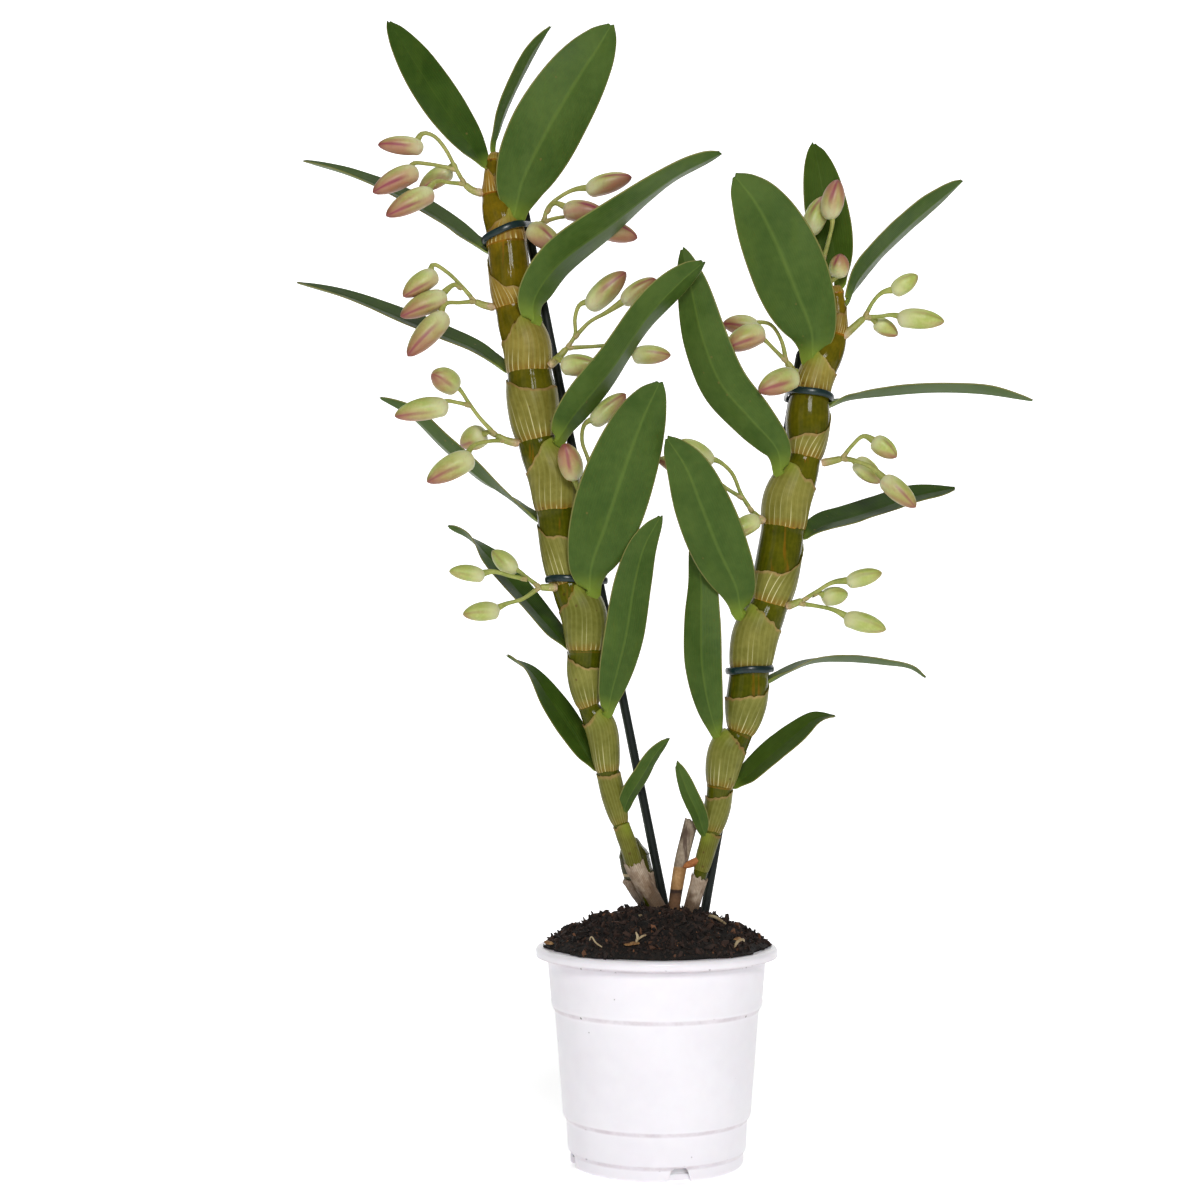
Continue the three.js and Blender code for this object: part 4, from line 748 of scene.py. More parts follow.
STUB_GREY = colour(116, 98, 80), colour(182, 166, 144)
STUB_TAN = colour(150, 108, 62), colour(196, 154, 102)
STUB_BROWN = colour(70, 46, 30), colour(122, 88, 58)
STUB_SCALE = colour(150, 88, 44), colour(190, 124, 70)
STUB_CRACK, STUB_JOINT, STUB_HOLLOW_SHADE = colour(70, 50, 38), colour(44, 26, 16), colour(26, 16, 12)

UPRIGHT_GRAIN = (1.0, 1.0, 0.12)
CROSS_GRAIN = (1.0, 0.4, 1.0)


def paint_leaf(w):
    across, up = w.flow()
    place = w.place()
    off_middle = w.math("ABSOLUTE", w.math("MULTIPLY_ADD", across, 2.0, -1.0))
    under = w.value("under")
    patches = w.group(MOTTLE, Vector=place, Scale=45.0, Contrast=0.25)
    lines = w.group(STRIPES, Across=across, Count=w.value("veins"), Vector=place, Wander=0.6)
    top = w.mix(w.value("tone"), w.mix(patches, *LEAF_TOP), LEAF_YELLOWING)
    base = w.mix(under, top, w.mix(patches, *LEAF_UNDER))
    base = w.mix(w.times(lines, 0.1), base, LEAF_VEIN)
    # Long pale streaks along the blade are painted sheen.
    sheen_streaks = w.noise(place, 140.0, 3.0, UPRIGHT_GRAIN)
    base = w.mix(w.span(sheen_streaks, 0.5, 0.8, 0.0, 0.3), base, LEAF_SHEEN)
    midrib = w.times(w.span(off_middle, 0.1, 0.0), w.math("MULTIPLY_ADD", under, 0.3, 0.08))
    base = w.mix(midrib, base, LEAF_RIB)
    base = w.mix(w.span(off_middle, 0.965, 0.998, 0.0, 0.6), base, LEAF_MARGIN)
    base = w.mix(w.span(up, 0.13, 0.0, 0.0, 0.85), base, LEAF_FOOT)
    scuffs = w.group(SPECKS, Vector=place, Scale=260.0, Size=0.22, Share=0.05)
    base = w.mix(w.times(scuffs, 0.5), base, LEAF_SCUFF)
    relief = w.math("ADD", w.times(lines, 0.5), w.times(patches, 0.5))
    rough = w.span(patches, 0.0, 1.0, 0.36, 0.5)
    return {"Base Color": base, "Roughness": rough, "Normal": w.bump(relief, 0.25, 0.0003)}


def paint_cane(w):
    across, _ = w.flow()
    place = w.place()
    patches = w.group(MOTTLE, Vector=place, Scale=70.0, Contrast=0.22)
    base = w.mix(w.times(w.value("amber"), 0.8), w.mix(patches, *CANE_GREEN), w.mix(patches, *CANE_GOLD))
    lines = w.group(STRIPES, Across=across, Count=30.0, Vector=place, Wander=0.8)
    base = w.mix(w.times(lines, 0.1), base, CANE_LINE)
    drips = w.noise(place, 320.0, 2.0, UPRIGHT_GRAIN)
    base = w.mix(w.times(w.span(drips, 0.62, 0.74), 0.3), base, CANE_DRIP)
    base = w.mix(w.span(w.value("joint"), 0.45, 0.8), base, w.mix(patches, *CANE_JOINT))
    specks = w.group(SPECKS, Vector=place, Scale=240.0, Size=0.25, Share=0.1)
    base = w.mix(w.times(specks, 0.6), base, CANE_SPECK)
    return {"Base Color": base, "Normal": w.bump(lines, 0.15, 0.0003)}


def paint_sheath(w):
    across, _ = w.flow()
    place = w.place()
    above, ridge, green = w.value("above"), w.value("ridge"), w.value("green")
    pale = w.value("pale")
    bold = w.math("SUBTRACT", 1.0, pale)
    patches = w.group(MOTTLE, Vector=place, Scale=60.0, Contrast=0.25)
    fine = w.group(STRIPES, Across=across, Count=72.0, Vector=place, Wander=0.9)
    base = w.mix(pale, w.mix(patches, *SHEATH_OLIVE), w.mix(patches, *SHEATH_PALE))
    base = w.mix(w.value("amber"), base, w.mix(patches, *SHEATH_AMBER))
    base = w.mix(w.times(fine, w.math("MULTIPLY_ADD", pale, -0.16, 0.22)), base, SHEATH_LINE)
    base = w.mix(w.times(w.span(ridge, 0.4, 0.95), 0.14), base, SHEATH_CREST)
    # At its foot a sheath is amber between the ribs and golden white on them.
    low = w.math("SUBTRACT", above, w.math("MULTIPLY_ADD", w.noise(place, 520.0, 2.0), 3.4, -1.7))
    foot = w.times(w.span(low, 6.0, 0.8), bold)
    base = w.mix(w.times(foot, 0.75), base, w.mix(ridge, *SHEATH_BASE))
    rise = w.math("SUBTRACT", 1.0, w.math("DIVIDE", above, w.math("ADD", w.value("streak"), 0.5)))
    streak = w.times(w.span(ridge, 0.84, 0.99), w.span(rise, 0.0, 0.7))
    base = w.mix(w.times(streak, w.times(bold, 0.95)), base, SHEATH_STREAK)
    edge = w.times(w.span(above, 0.9, 0.2), bold)
    base = w.mix(edge, base, w.mix(w.noise(place, 380.0, 2.0), *SHEATH_EDGE))
    # Its rim is thin, dry and brown; towards the leaf it stays green.
    ragged = w.math("ADD", w.value("rim"), w.math("MULTIPLY_ADD", w.noise(place, 420.0, 3.0), 2.4, -1.2))
    dry = w.times(w.span(ragged, 1.9, 0.5), w.math("SUBTRACT", 1.0, w.times(green, 0.9)))
    base = w.mix(w.times(dry, 0.8), base, w.mix(patches, *SHEATH_RIM))
    base = w.mix(w.times(green, 0.85), base, SHEATH_GREEN)
    specks = w.group(SPECKS, Vector=place, Scale=300.0, Size=0.26, Share=0.08)
    base = w.mix(w.times(specks, 0.6), base, SHEATH_SPECK)
    relief = w.math("ADD", w.times(ridge, 0.6), w.times(fine, 0.3))
    rough = w.span(dry, 0.0, 1.0, 0.38, 0.75)
    return {"Base Color": base, "Roughness": rough, "Normal": w.bump(relief, 0.3, 0.0003)}


def paint_papery(w):
    across, up = w.flow()
    place = w.place()
    patches = w.group(MOTTLE, Vector=place, Scale=90.0, Contrast=0.2)
    lines = w.group(STRIPES, Across=across, Count=34.0, Vector=place, Wander=1.4)
    base = w.mix(w.times(lines, 0.4), w.mix(patches, *PAPER), PAPER_LINE)
    worn = w.group(SPECKS, Vector=place, Scale=220.0, Size=0.35, Share=0.3)
    base = w.mix(w.times(worn, 0.4), base, PAPER_WORN)
    clean = w.math("ADD", up, w.math("MULTIPLY_ADD", w.noise(place, 200.0, 2.0), 0.5, -0.25))
    base = w.mix(w.span(clean, 0.72, 0.5, 0.0, 0.85), base, w.mix(lines, *PAPER_SOILED))
    return {"Base Color": base, "Normal": w.bump(lines, 0.5, 0.0004)}


def paint_bud(w):
    place = w.place()
    part, flush = w.value("part"), w.value("flush")
    patches = w.group(MOTTLE, Vector=place, Scale=130.0, Contrast=0.25)
    veins = w.noise(place, 900.0, 2.0, (1.0, 1.0, 0.35))
    pale = w.mix(w.span(part, 0.0, 0.55), *BUD_GREEN)
    pale = w.mix(w.span(patches, 0.2, 0.9, 0.0, 0.5), pale, BUD_PATCH)
    # Pink spreads from the tip; painted shade on the underside, with random patches, adds more of it.
    reach = w.math("ADD", w.math("MULTIPLY_ADD", flush, 0.8, -0.72), w.times(part, 0.6))
    reach = w.math("ADD", reach, w.times(w.value("shade"), 0.5))
    base = w.mix(w.span(reach, 0.1, 0.75, 0.0, 0.85), pale, w.mix(part, *BUD_PINK))
    blush = w.times(w.span(veins, 0.5, 0.75), w.math("MULTIPLY_ADD", flush, 0.2, 0.04))
    base = w.mix(blush, base, BUD_BLUSH)
    rosy = w.times(w.span(part, 0.2, 0.6), w.math("MULTIPLY_ADD", flush, 0.9, 0.12))
    base = w.mix(w.times(w.span(w.value("seam"), 0.05, 1.0), rosy), base, BUD_SEAM)
    tip = w.times(w.span(part, 0.84, 0.99), w.math("MULTIPLY_ADD", flush, 0.7, 0.1))
    base = w.mix(tip, base, BUD_TIP)
    return {"Base Color": base, "Normal": w.bump(w.math("ADD", patches, veins), 0.12, 0.0003)}


def paint_stem(w):
    patches = w.group(MOTTLE, Vector=w.place(), Scale=150.0, Contrast=0.25)
    pink = w.times(w.value("pink"), w.math("MULTIPLY_ADD", patches, 0.4, 0.5))
    base = w.mix(pink, w.mix(patches, *STEM_GREEN), STEM_PINK)
    base = w.mix(w.value("dry"), base, w.mix(patches, *STEM_DRY))
    return {"Base Color": base, "Normal": w.bump(patches, 0.15, 0.0003)}


def paint_stake(w):
    across, _ = w.flow()
    patches = w.group(MOTTLE, Vector=w.place(), Scale=80.0, Contrast=0.25)
    # A pale line down one side of the stake is a painted highlight; seam is the mask of that line.
    seam = w.close_to(across, 0.62, 0.035, 0.01)
    base = w.mix(w.times(seam, 0.5), w.mix(patches, *STAKE_PLASTIC), STAKE_HIGHLIGHT)
    return {"Base Color": base, "Normal": w.bump(patches, 0.2, 0.0003)}


def paint_tie(w):
    patches = w.group(MOTTLE, Vector=w.place(), Scale=160.0, Contrast=0.25)
    return {"Base Color": w.mix(patches, *TIE_TUBE)}


def paint_pot(w):
    place, height = w.place(), w.height()
    patches = w.group(MOTTLE, Vector=place, Scale=25.0, Contrast=0.3)
    # The creases at the pot's steps are darkened with painted shade; the dark specks in them are real dirt.
    crease = 0.0
    for step in POT_STEPS:
        crease = w.math("MAXIMUM", w.close_to(height, step, 0.0016, 0.0004), crease)
    crease_shade_patches = w.group(MOTTLE, Vector=place, Scale=90.0, Contrast=0.2)
    shadow = w.times(crease, w.math("MULTIPLY_ADD", crease_shade_patches, 0.3, 0.2))
    base = w.mix(shadow, w.mix(patches, *POT_WHITE), POT_CREASE_SHADE)
    specks = w.group(SPECKS, Vector=place, Scale=330.0, Size=0.16, Share=0.02)
    more = w.times(w.group(SPECKS, Vector=place, Scale=430.0, Size=0.34, Share=0.14), crease)
    base = w.mix(w.math("MAXIMUM", w.times(specks, 0.5), w.times(more, 0.85)), base, POT_DIRT)
    return {"Base Color": base, "Normal": w.bump(patches, 0.05, 0.0004)}


def paint_soil(w):
    grain = w.noise(w.place(), 420.0, 6.0)
    base = w.mix(w.span(grain, 0.35, 0.7), *SOIL_DARK)
    return {"Base Color": base, "Normal": w.bump(grain, 1.0, 0.002)}


def paint_chips(w):
    tone = w.value("tone")
    grain = w.noise(w.place(), 380.0, 4.0, CROSS_GRAIN)
    base = w.mix(w.span(tone, 0.0, 0.9), *CHIP_BROWN)
    base = w.mix(w.span(tone, 0.94, 1.0), base, CHIP_RUSTY)
    base = w.mix(w.times(w.span(grain, 0.45, 0.7), 0.4), base, CHIP_GRAIN)
    return {"Base Color": base, "Normal": w.bump(grain, 0.8, 0.0008)}


def paint_tan(w):
    grain = w.noise(w.place(), 300.0, 5.0, (1.0, 0.3, 1.0))
    return {"Base Color": w.mix(w.span(grain, 0.35, 0.65), *BARK_TAN), "Normal": w.bump(grain, 0.8, 0.0008)}


def paint_root(w):
    patches = w.group(MOTTLE, Vector=w.place(), Scale=220.0, Contrast=0.25)
    return {"Base Color": w.mix(patches, *ROOT_CREAM)}


def paint_bulb(w):
    across, _ = w.flow()
    place = w.place()
    patches = w.group(MOTTLE, Vector=place, Scale=90.0, Contrast=0.25)
    lines = w.group(STRIPES, Across=across, Count=22.0, Vector=place, Wander=0.8)
    base = w.mix(w.times(lines, 0.2), w.mix(patches, *BULB_OLIVE), BULB_LINE)
    ring = w.close_to(w.height(), BULB_RINGS[0] * MM, 0.0009, 0.0004)
    return {"Base Color": w.mix(ring, base, BULB_RING), "Normal": w.bump(lines, 0.3, 0.0003)}


def paint_stub(w):
    place, height = w.place(), w.height()
    patches = w.group(MOTTLE, Vector=place, Scale=120.0, Contrast=0.2)
    cracks = w.noise(place, 260.0, 4.0, (1.0, 1.0, 0.18))
    base = w.mix(w.span(cracks, 0.54, 0.64, 0.0, 0.8), w.mix(patches, *STUB_GREY), STUB_CRACK)
    # Below its grey end it is tan, then dark at a joint, then brown.
    base = w.mix(w.span(height, 0.1446, 0.1436), base, w.mix(patches, *STUB_TAN))
    base = w.mix(w.span(height, 0.1334, 0.1324), base, w.mix(patches, *STUB_BROWN))
    joint = w.close_to(height, 0.132, 0.0011, 0.0005)
    base = w.mix(w.times(joint, 0.8), base, STUB_JOINT)
    base = w.mix(w.value("scale"), base, w.mix(patches, *STUB_SCALE))
    # The hollow end is painted near black: painted shade in the hole.
    base = w.mix(w.value("hollow"), base, STUB_HOLLOW_SHADE)
    return {"Base Color": base, "Normal": w.bump(cracks, 0.7, 0.0006)}


LEAF = material("Leaf", paint_leaf, Specular_IOR_Level=0.1, Subsurface_Weight=0.05, Subsurface_Scale=0.002)
CANE = material("Cane", paint_cane, 0.12, Specular_IOR_Level=0.12)
SHEATH = material("Sheath", paint_sheath, Specular_IOR_Level=0.14)
PAPERY = material("Papery sheath", paint_papery, 0.8)
BUD = material("Bud", paint_bud, 0.42, Subsurface_Weight=0.15, Subsurface_Scale=0.002)
STEM = material("Stem", paint_stem, 0.5, Subsurface_Weight=0.1, Subsurface_Scale=0.001)
STAKE = material("Stake", paint_stake, 0.5, Specular_IOR_Level=0.25)
TIE = material("Tie", paint_tie, 0.3)
POT = material("Pot plastic", paint_pot, 0.34, Subsurface_Weight=0.05, Subsurface_Scale=0.002)
SOIL = material("Potting mix", paint_soil, 0.95)
CHIPS = material("Bark chips", paint_chips, 0.85)
TAN = material("Tan bark", paint_tan, 0.85)
ROOT = material("Root", paint_root, 0.7)
BULB = material("Old bulb", paint_bulb, 0.2, Specular_IOR_Level=0.25)
STUB = material("Dry stub", paint_stub, 0.85)

# ---------------------------------------------------------------- canes


class Cane:
    """The line of one cane with its radius, looked up by internode and by part of it."""

    def __init__(self, table, sheaths):
        self.nodes, self.sheaths = table["nodes"], sheaths
        foot = table["foot"]
        control = [*foot, *(p for node in self.nodes for p in (node["ring"], node["swelling"]))]
        places, radii, joints = list(range(len(foot))), [p[3] for p in foot], [0.0] * len(foot)
        self.starts = []
        for k, (node, above) in enumerate(zip(self.nodes, self.nodes[1:])):
            start = len(foot) + 2 * k
            self.starts.append(len(places))
            length = above["ring"][2] - node["ring"][2]
            middle = (node["swelling"][2] - node["ring"][2]) / length
            for part in np.arange(INTERNODE_ROWS) / INTERNODE_ROWS:
                step = part / middle if part < middle else 1 + (part - middle) / (1 - middle)
                places.append(start + step)
                radii.append(self.swell(node, above, part, middle))
                joints.append(bell(min(part, 1 - part) * length, 0.7))
        self.starts.append(len(places))
        tip = self.nodes[-1]
        for part in np.linspace(0, 1, TIP_ROWS):
            places.append(len(control) - 2 + part)
            radii.append(tip["ring"][3] + (tip["swelling"][3] * 0.8 - tip["ring"][3]) * part**1.6)
            joints.append(max(0.0, 1 - part * 3))
        self.line = curve_at(control, np.array(places) / (len(control) - 1))[:, :3]
        self.radius, self.joint = np.array(radii), np.array(joints)
        ahead = unit(np.gradient(self.line, axis=0))
        self.side = unit(np.cross([0.0, 1.0, 0.0], ahead))
        self.back = np.cross(ahead, self.side)

    @staticmethod
    def swell(node, above, part, middle):
        """Radius at a part of an internode, with its swelling at the middle."""
        low, high, top = node["ring"][3], node["swelling"][3], above["ring"][3]
        if part < middle:
            return low + (high - low) * math.sin(math.pi / 2 * part / middle)
        return top + (high - top) * math.cos(math.pi / 2 * (part - middle) / (1 - middle))

    def middle_at(self, height):
        return np.array([np.interp(height, self.line[:, 2], self.line[:, i]) for i in range(3)])

    def look(self, rows, values):
        """Numbers or points of the cane's line, at fractional rows."""
        index = np.arange(len(self.line))
        if values.ndim == 1:
            return np.interp(rows, index, values)
        return np.stack([np.interp(rows, index, values[:, i]) for i in range(3)], -1)

    def skin(self, rows, angle, extra):
        """Points round the cane at fractional rows and angles, extra millimetres off its surface."""
        side, back = self.look(rows, self.side), self.look(rows, self.back)
        out = side * np.cos(angle)[..., None] + back * np.sin(angle)[..., None]
        reach = self.look(rows, self.radius) + extra
        return self.look(rows, self.line) + out * reach[..., None]


def draw_core(draft, cane):
    """The bare cane: glossy, with a raised ring at every node."""
    rows = np.r_[np.arange(0, len(cane.line) - 1, 2), len(cane.line) - 1].astype(float)
    angle = circle(CORE_COLUMNS)[None, :] + np.zeros((len(rows), 1))
    joint, line = cane.look(rows, cane.joint), cane.look(rows, cane.line)
    uneven = wave_noise(7, rows[:, None] * 0.05, np.cos(angle) * 1.3, np.sin(angle))
    bare = [1.0] * (len(cane.starts) - len(cane.sheaths))
    amber = np.interp(rows, cane.starts, [sheath[2] for sheath in cane.sheaths] + bare)
    bold = np.interp(rows, cane.starts, [1 - sheath[3] for sheath in cane.sheaths] + bare)
    draft.add(cane.skin(rows[:, None] + 0 * angle, angle, RING_RELIEF * joint[:, None] + 0.12 * uneven),
        v=line[:, 2] / 100, amber=amber[:, None], joint=(joint * bold)[:, None])


def sheath_rim(near, far, facing, column, length, seed):
    """How far up its internode a sheath's ragged rim reaches, round the cane."""
    ragged = 0.9 / length * (wave_noise(seed, 2.1 * column) + 0.35 * wave_noise(seed + 1, 6.0 * column))
    ragged = ragged * np.minimum(1, 2 * abs(np.sin((column - column[0]) / 2)) + 0.2) * (1 - 0.8 * facing**6)
    slant = near - far
    return np.clip(far + slant * facing**1.5 + ragged * (1.6 if slant > 0.1 else 0.7), 0.12, 1.0)


def draw_sheath(draft, cane, k, leaf_foot, seed):
    """One sheath: ribbed at its foot, drawn up towards its leaf, with a thin ragged rim."""
    near, far, amber, pale = cane.sheaths[k]
    low = cane.nodes[k]["ring"][2]
    length = cane.nodes[k + 1]["ring"][2] - low
    near = max(near, min((leaf_foot[2] - low) / length, 1.02))
    middle = cane.middle_at(leaf_foot[2])
    toward = math.atan2(leaf_foot[1] - middle[1], leaf_foot[0] - middle[0])
    rows, column = np.r_[0, np.linspace(0.02, 1, 30)], circle(COLUMNS)
    facing = (1 + np.cos(column - toward)) / 2
    rim = sheath_rim(near, far, facing, column, length, seed)
    part = rows[:, None] * rim
    # The ribs lean towards the leaf as they rise.
    lean = 0.9 * rows[:, None] ** 1.6 * np.sin(toward - column) * min(near - far + 0.2, 0.6)
    angle = column + lean
    around = 2.0 * np.cos(column), 2.0 * np.sin(column)
    phase = RIBS * column + 1.6 * wave_noise(seed + 4, *around)
    ridge = 0.5 + 0.5 * np.cos(phase) + 0 * part
    fade = 1 - 0.85 * smooth(0.05, 0.6, rows)[:, None]
    tall = np.random.default_rng(seed).uniform(0.12, 0.75, RIBS + 2) ** 1.3
    streak = tall[np.round(phase / TURN).astype(int) % (RIBS + 2)] * length + 0 * part
    flare = SHEATH_FLARE * smooth(1.6, 0.0, (rim - part) * length)
    flare = flare * (0.5 + 0.5 * wave_noise(seed + 3, 4.0 * column))
    extra = SHEATH_LIFT + RIB_RELIEF * ridge * fade + 0.2 * smooth(0, 0.3, rows)[:, None] + flare
    extra = extra + 0.14 * wave_noise(seed + 2, *around, 2.5 * part)
    extra = extra * np.minimum(1, 0.25 + rows[:, None] * 9)
    start, span = cane.starts[k], cane.starts[k + 1] - cane.starts[k]
    outer = cane.skin(start + part * span, angle, extra)
    # The inside goes back down behind the rim.
    inward = np.array([1.0, 0.8, 0.5, 0.0])[:, None]
    under = np.where(inward > 0.9, extra[-1] - SHEATH_WALL, -0.15 - 0.3 * (1 - inward))
    inner = cane.skin(start + inward * rim * span, angle[-1] + 0 * inward, under)
    parts = np.concatenate([part, inward * rim])
    ridge, streak = (np.concatenate([grid, np.tile(grid[:1], (4, 1))]) for grid in (ridge, streak))
    gone = (rim - parts) * length
    draft.add(np.concatenate([outer, inner]), v=np.r_[rows, np.ones(5)], ring=True, material=1,
        above=parts * length, rim=gone, ridge=ridge, streak=streak, pale=pale, amber=amber,
        green=facing**5 * smooth(9.0, 1.0, gone))


def draw_collar(draft, cane):
    """The last, short sheath with the growing tip in it."""
    start, end = cane.starts[-1], len(cane.line) - 1
    rows = np.r_[np.linspace(0, 1, 14), 1.0, 0.6][:, None]
    angle = circle(COLUMNS)[None, :] + 0 * rows
    ridge = 0.5 + 0.5 * np.cos(14 * angle)
    extra = 0.2 + 0.35 * ridge * smooth(1.15, 0.7, rows)
    extra[0], extra[-2], extra[-1] = 0, 0.1, -1.0
    place = start + rows * (end - start) * (1 - 0.08 * ridge)
    draft.add(cane.skin(place, angle, extra), material=1, above=5.0, rim=6 * (1 - rows), ridge=ridge,
        amber=0.6)


def draw_husk(draft, cane, high, seed):
    """A dry, torn sheath round a cane's foot, up to the given height."""
    column, rows = circle(COLUMNS), np.r_[np.linspace(0, 1, 24), 1.0, 0.9][:, None]
    torn = wave_noise(seed, 2.0 * column) + 0.8 * wave_noise(seed + 1, 8.0 * column)
    torn = torn * np.abs(np.sin(column / 2)) ** 0.3
    foot = cane.line[0][2]
    level = foot + rows * (high + 1.6 * torn - foot)
    place = np.interp(level, cane.line[:, 2], np.arange(len(cane.line)))
    crinkle = wave_noise(seed + 2, 5 * np.cos(column)[None, :], 5 * np.sin(column), rows * 4)
    extra = HUSK_LIFT + 0.3 * crinkle + 0.5 * rows**3
    extra[-2:] -= np.array([[0.25], [1.6]])
    draft.add(cane.skin(place, column + 0 * place, extra), material=2)


def draw_cane(name, table, sheaths, leaves, husk_top, seed):
    cane = Cane(table, sheaths)
    draft = Draft("amber", "joint", "above", "rim", "ridge", "streak", "pale", "green")
    draw_core(draft, cane)
    for k in range(len(sheaths)):
        draw_sheath(draft, cane, k, leaves[k]["spine"][0][:3], 20 + 5 * k)
    draw_collar(draft, cane)
    draw_husk(draft, cane, husk_top, seed)
    dress(draft.build(name, [CANE, SHEATH, PAPERY]), "cane", name)
    return cane


# ---------------------------------------------------------------- leaves


def draw_leaf(name, cane, leaf, seed):
    """One strap leaf: channelled, with a folded foot, a sunken midrib and an unequal notched tip."""
    dice = np.random.default_rng(seed)
    width, spine = leaf["width"], leaf["spine"]
    foot = np.array(spine[0][:3], float)
    inward = unit(cane.middle_at(foot[2]) - foot) * LEAF_ROOT
    parts = np.r_[np.linspace(0, 0.12, 12)[:-1], np.linspace(0.12, 0.93, 38)[:-1], np.linspace(0.93, 1, 11)]
    sampled = along([[*(foot + inward), spine[0][3]], *spine], parts)
    centre, roll = sampled[:, :3], np.radians(sampled[:, 3])[:, None]
    ahead = unit(np.gradient(centre, run_along(centre), axis=0))
    front = np.array([0.0, -1.0, 0.0])
    facing = unit(front - (ahead @ front)[:, None] * ahead)
    upper = facing * np.cos(roll) + np.cross(ahead, facing) * np.sin(roll)
    side = np.cross(ahead, upper)
    reach = (width * outline_at(BLADE_OUTLINE, parts))[:, None]
    s, r = ACROSS[None, :], parts[:, None]
    rise = LEAF_CHANNEL * reach * np.abs(s) ** 1.25
    rise = rise + reach * LEAF_FOLD * smooth(0.16, 0.0, r) * np.abs(s) ** 1.5
    ripple = LEAF_RIPPLE * reach * np.sin(TURN * (1.4 * r + dice.uniform())) * s * np.abs(s)
    ripple = ripple + 0.3 * wave_noise(seed, 5 * r, 1.5 * s) * np.abs(s) * smooth(0.0, 0.2, r)
    thick = (LEAF_MIDRIB + (LEAF_EDGE - LEAF_MIDRIB) * np.abs(s)) / 2
    groove = MIDRIB_DEPTH * bell(s, 0.05) * smooth(1.0, 0.9, r)
    veins = VEIN_RELIEF * np.cos(s * width * VEIN_PACE)
    lobe = 0.9 * smooth(0.1, -0.6, s) - 1.0 * bell(s, 0.3) - 1.2 * np.abs(s) ** 4
    shift = lobe * smooth(0.93, 1.0, r)
    place = centre[:, None] + side[:, None] * (s * reach)[..., None] + ahead[:, None] * shift[..., None]
    lift = rise + ripple
    top = place + upper[:, None] * (lift + thick - groove + veins)[..., None]
    bottom = place + upper[:, None] * (lift - thick - 0.5 * groove - 0.5 * veins)[..., None]
    between, out = (top + bottom) / 2, side[:, None] * LEAF_ROUND
    points = np.concatenate([top, between[:, -1:] + out, bottom[:, ::-1], between[:, :1] - out], axis=1)
    u = (1 + np.r_[ACROSS, 1, ACROSS[::-1], -1, -1]) / 2
    under = np.r_[np.zeros(len(ACROSS)), 0.4, np.ones(len(ACROSS)), 0.4][None, :]
    draft = Draft("under", "tone", "veins")
    draft.add(points, u=u, v=parts, under=under, tone=dice.uniform(0.0, 0.3),
        veins=max(6, round(width * VEIN_PACE)))
    dress(draft.build(name, [LEAF]), "leaf", name)


# ---------------------------------------------------------------- sprays


def draw_rod(draft, points, columns=12, rows=ROD_ROWS, **values):
    """Round rod through points of x, y, z and radius, with rounded ends."""
    ease = (1 - np.cos(np.linspace(0, math.pi, rows))) / 2
    sampled = along(points, ease)
    radius = sampled[:, 3] * np.clip(0.35 + 6 * np.minimum(ease, 1 - ease), 0, 1) ** 0.5
    draft.add(rings(sampled[:, :3], radius[:, None], columns), v=ease, **values)


def draw_bract(draft, at, ahead, aside, length, width, **values):
    """Small boat-shaped scale that clasps a stem at its joint."""
    ahead, aside = unit(np.array(ahead, float)), np.array(aside, float)
    aside = unit(aside - (aside @ ahead) * ahead)
    across = np.cross(ahead, aside)
    r, s = np.linspace(0, 1, 9)[:, None], np.linspace(-1, 1, 9)[None, :]
    half = width * np.sqrt(np.clip(1 - r**2, 0.01, 1)) * (0.75 + 0.25 * r)
    bend = width * (0.85 - 0.5 * r) * (1 - np.abs(s) ** 2 * 0.95) + 0.25 * length * r**2
    middle = np.array(at, float) + ahead * (r * length)[..., None] + across * (half * s)[..., None]
    outer = middle + aside * (bend + BRACT_HALF)[..., None]
    inner = middle + aside * (bend - BRACT_HALF)[..., None]
    draft.add(np.concatenate([outer, inner[:, ::-1]], axis=1), **values)


def draw_bud(draft, bud, flush, seed):
    """Closed bud: three sepals with sunken seams, a pointed tip and a rounded chin at its heel.
    Returns the point inside it that its stem runs to."""
    dice = np.random.default_rng(seed)
    heel, tip = np.array(bud["heel"], float), np.array(bud["tip"], float)
    middle = heel + 0.45 * (tip - heel) + np.array([0, 0, np.linalg.norm(tip - heel) * 0.06])
    part = (1 - np.cos(np.linspace(0, math.pi, BUD_ROWS))) / 2
    w = part[:, None]
    line = bow_at(heel, middle, tip, w)
    size = bud["radius"] * outline_at(BUD_OUTLINE, part)[:, None]
    angle = circle(BUD_COLUMNS)[None, :]
    way = spokes(*ways_across(line), angle)
    turn = dice.uniform(-0.3, 0.3) + 0.35 * w
    apart = np.abs((angle - turn + math.pi / 3) % (TURN / 3) - math.pi / 3)
    groove, seam = (bell(apart, wide) * smooth(0.02, 0.2, w) for wide in (0.13, 0.18))
    chin = np.clip(-way[..., 2], 0, 1) ** 2 * bell(w - 0.07, 0.1)
    swell = 1 - 0.08 * groove + 0.03 * np.cos(3 * (angle - turn)) * smooth(0.1, 0.5, w) + 0.2 * chin
    uneven = wave_noise(seed + 1, 2.0 * np.cos(angle), 2.0 * np.sin(angle), 3 * w)
    # shade is painted shade: darkest on the underside, with random patches.
    draft.add(line[:, None] + way * (size * swell)[..., None], v=part, part=w, seam=seam, flush=flush,
        shade=0.5 - 0.5 * way[..., 2] + 0.35 * uneven)
    return bow_at(heel, middle, tip, 0.22)


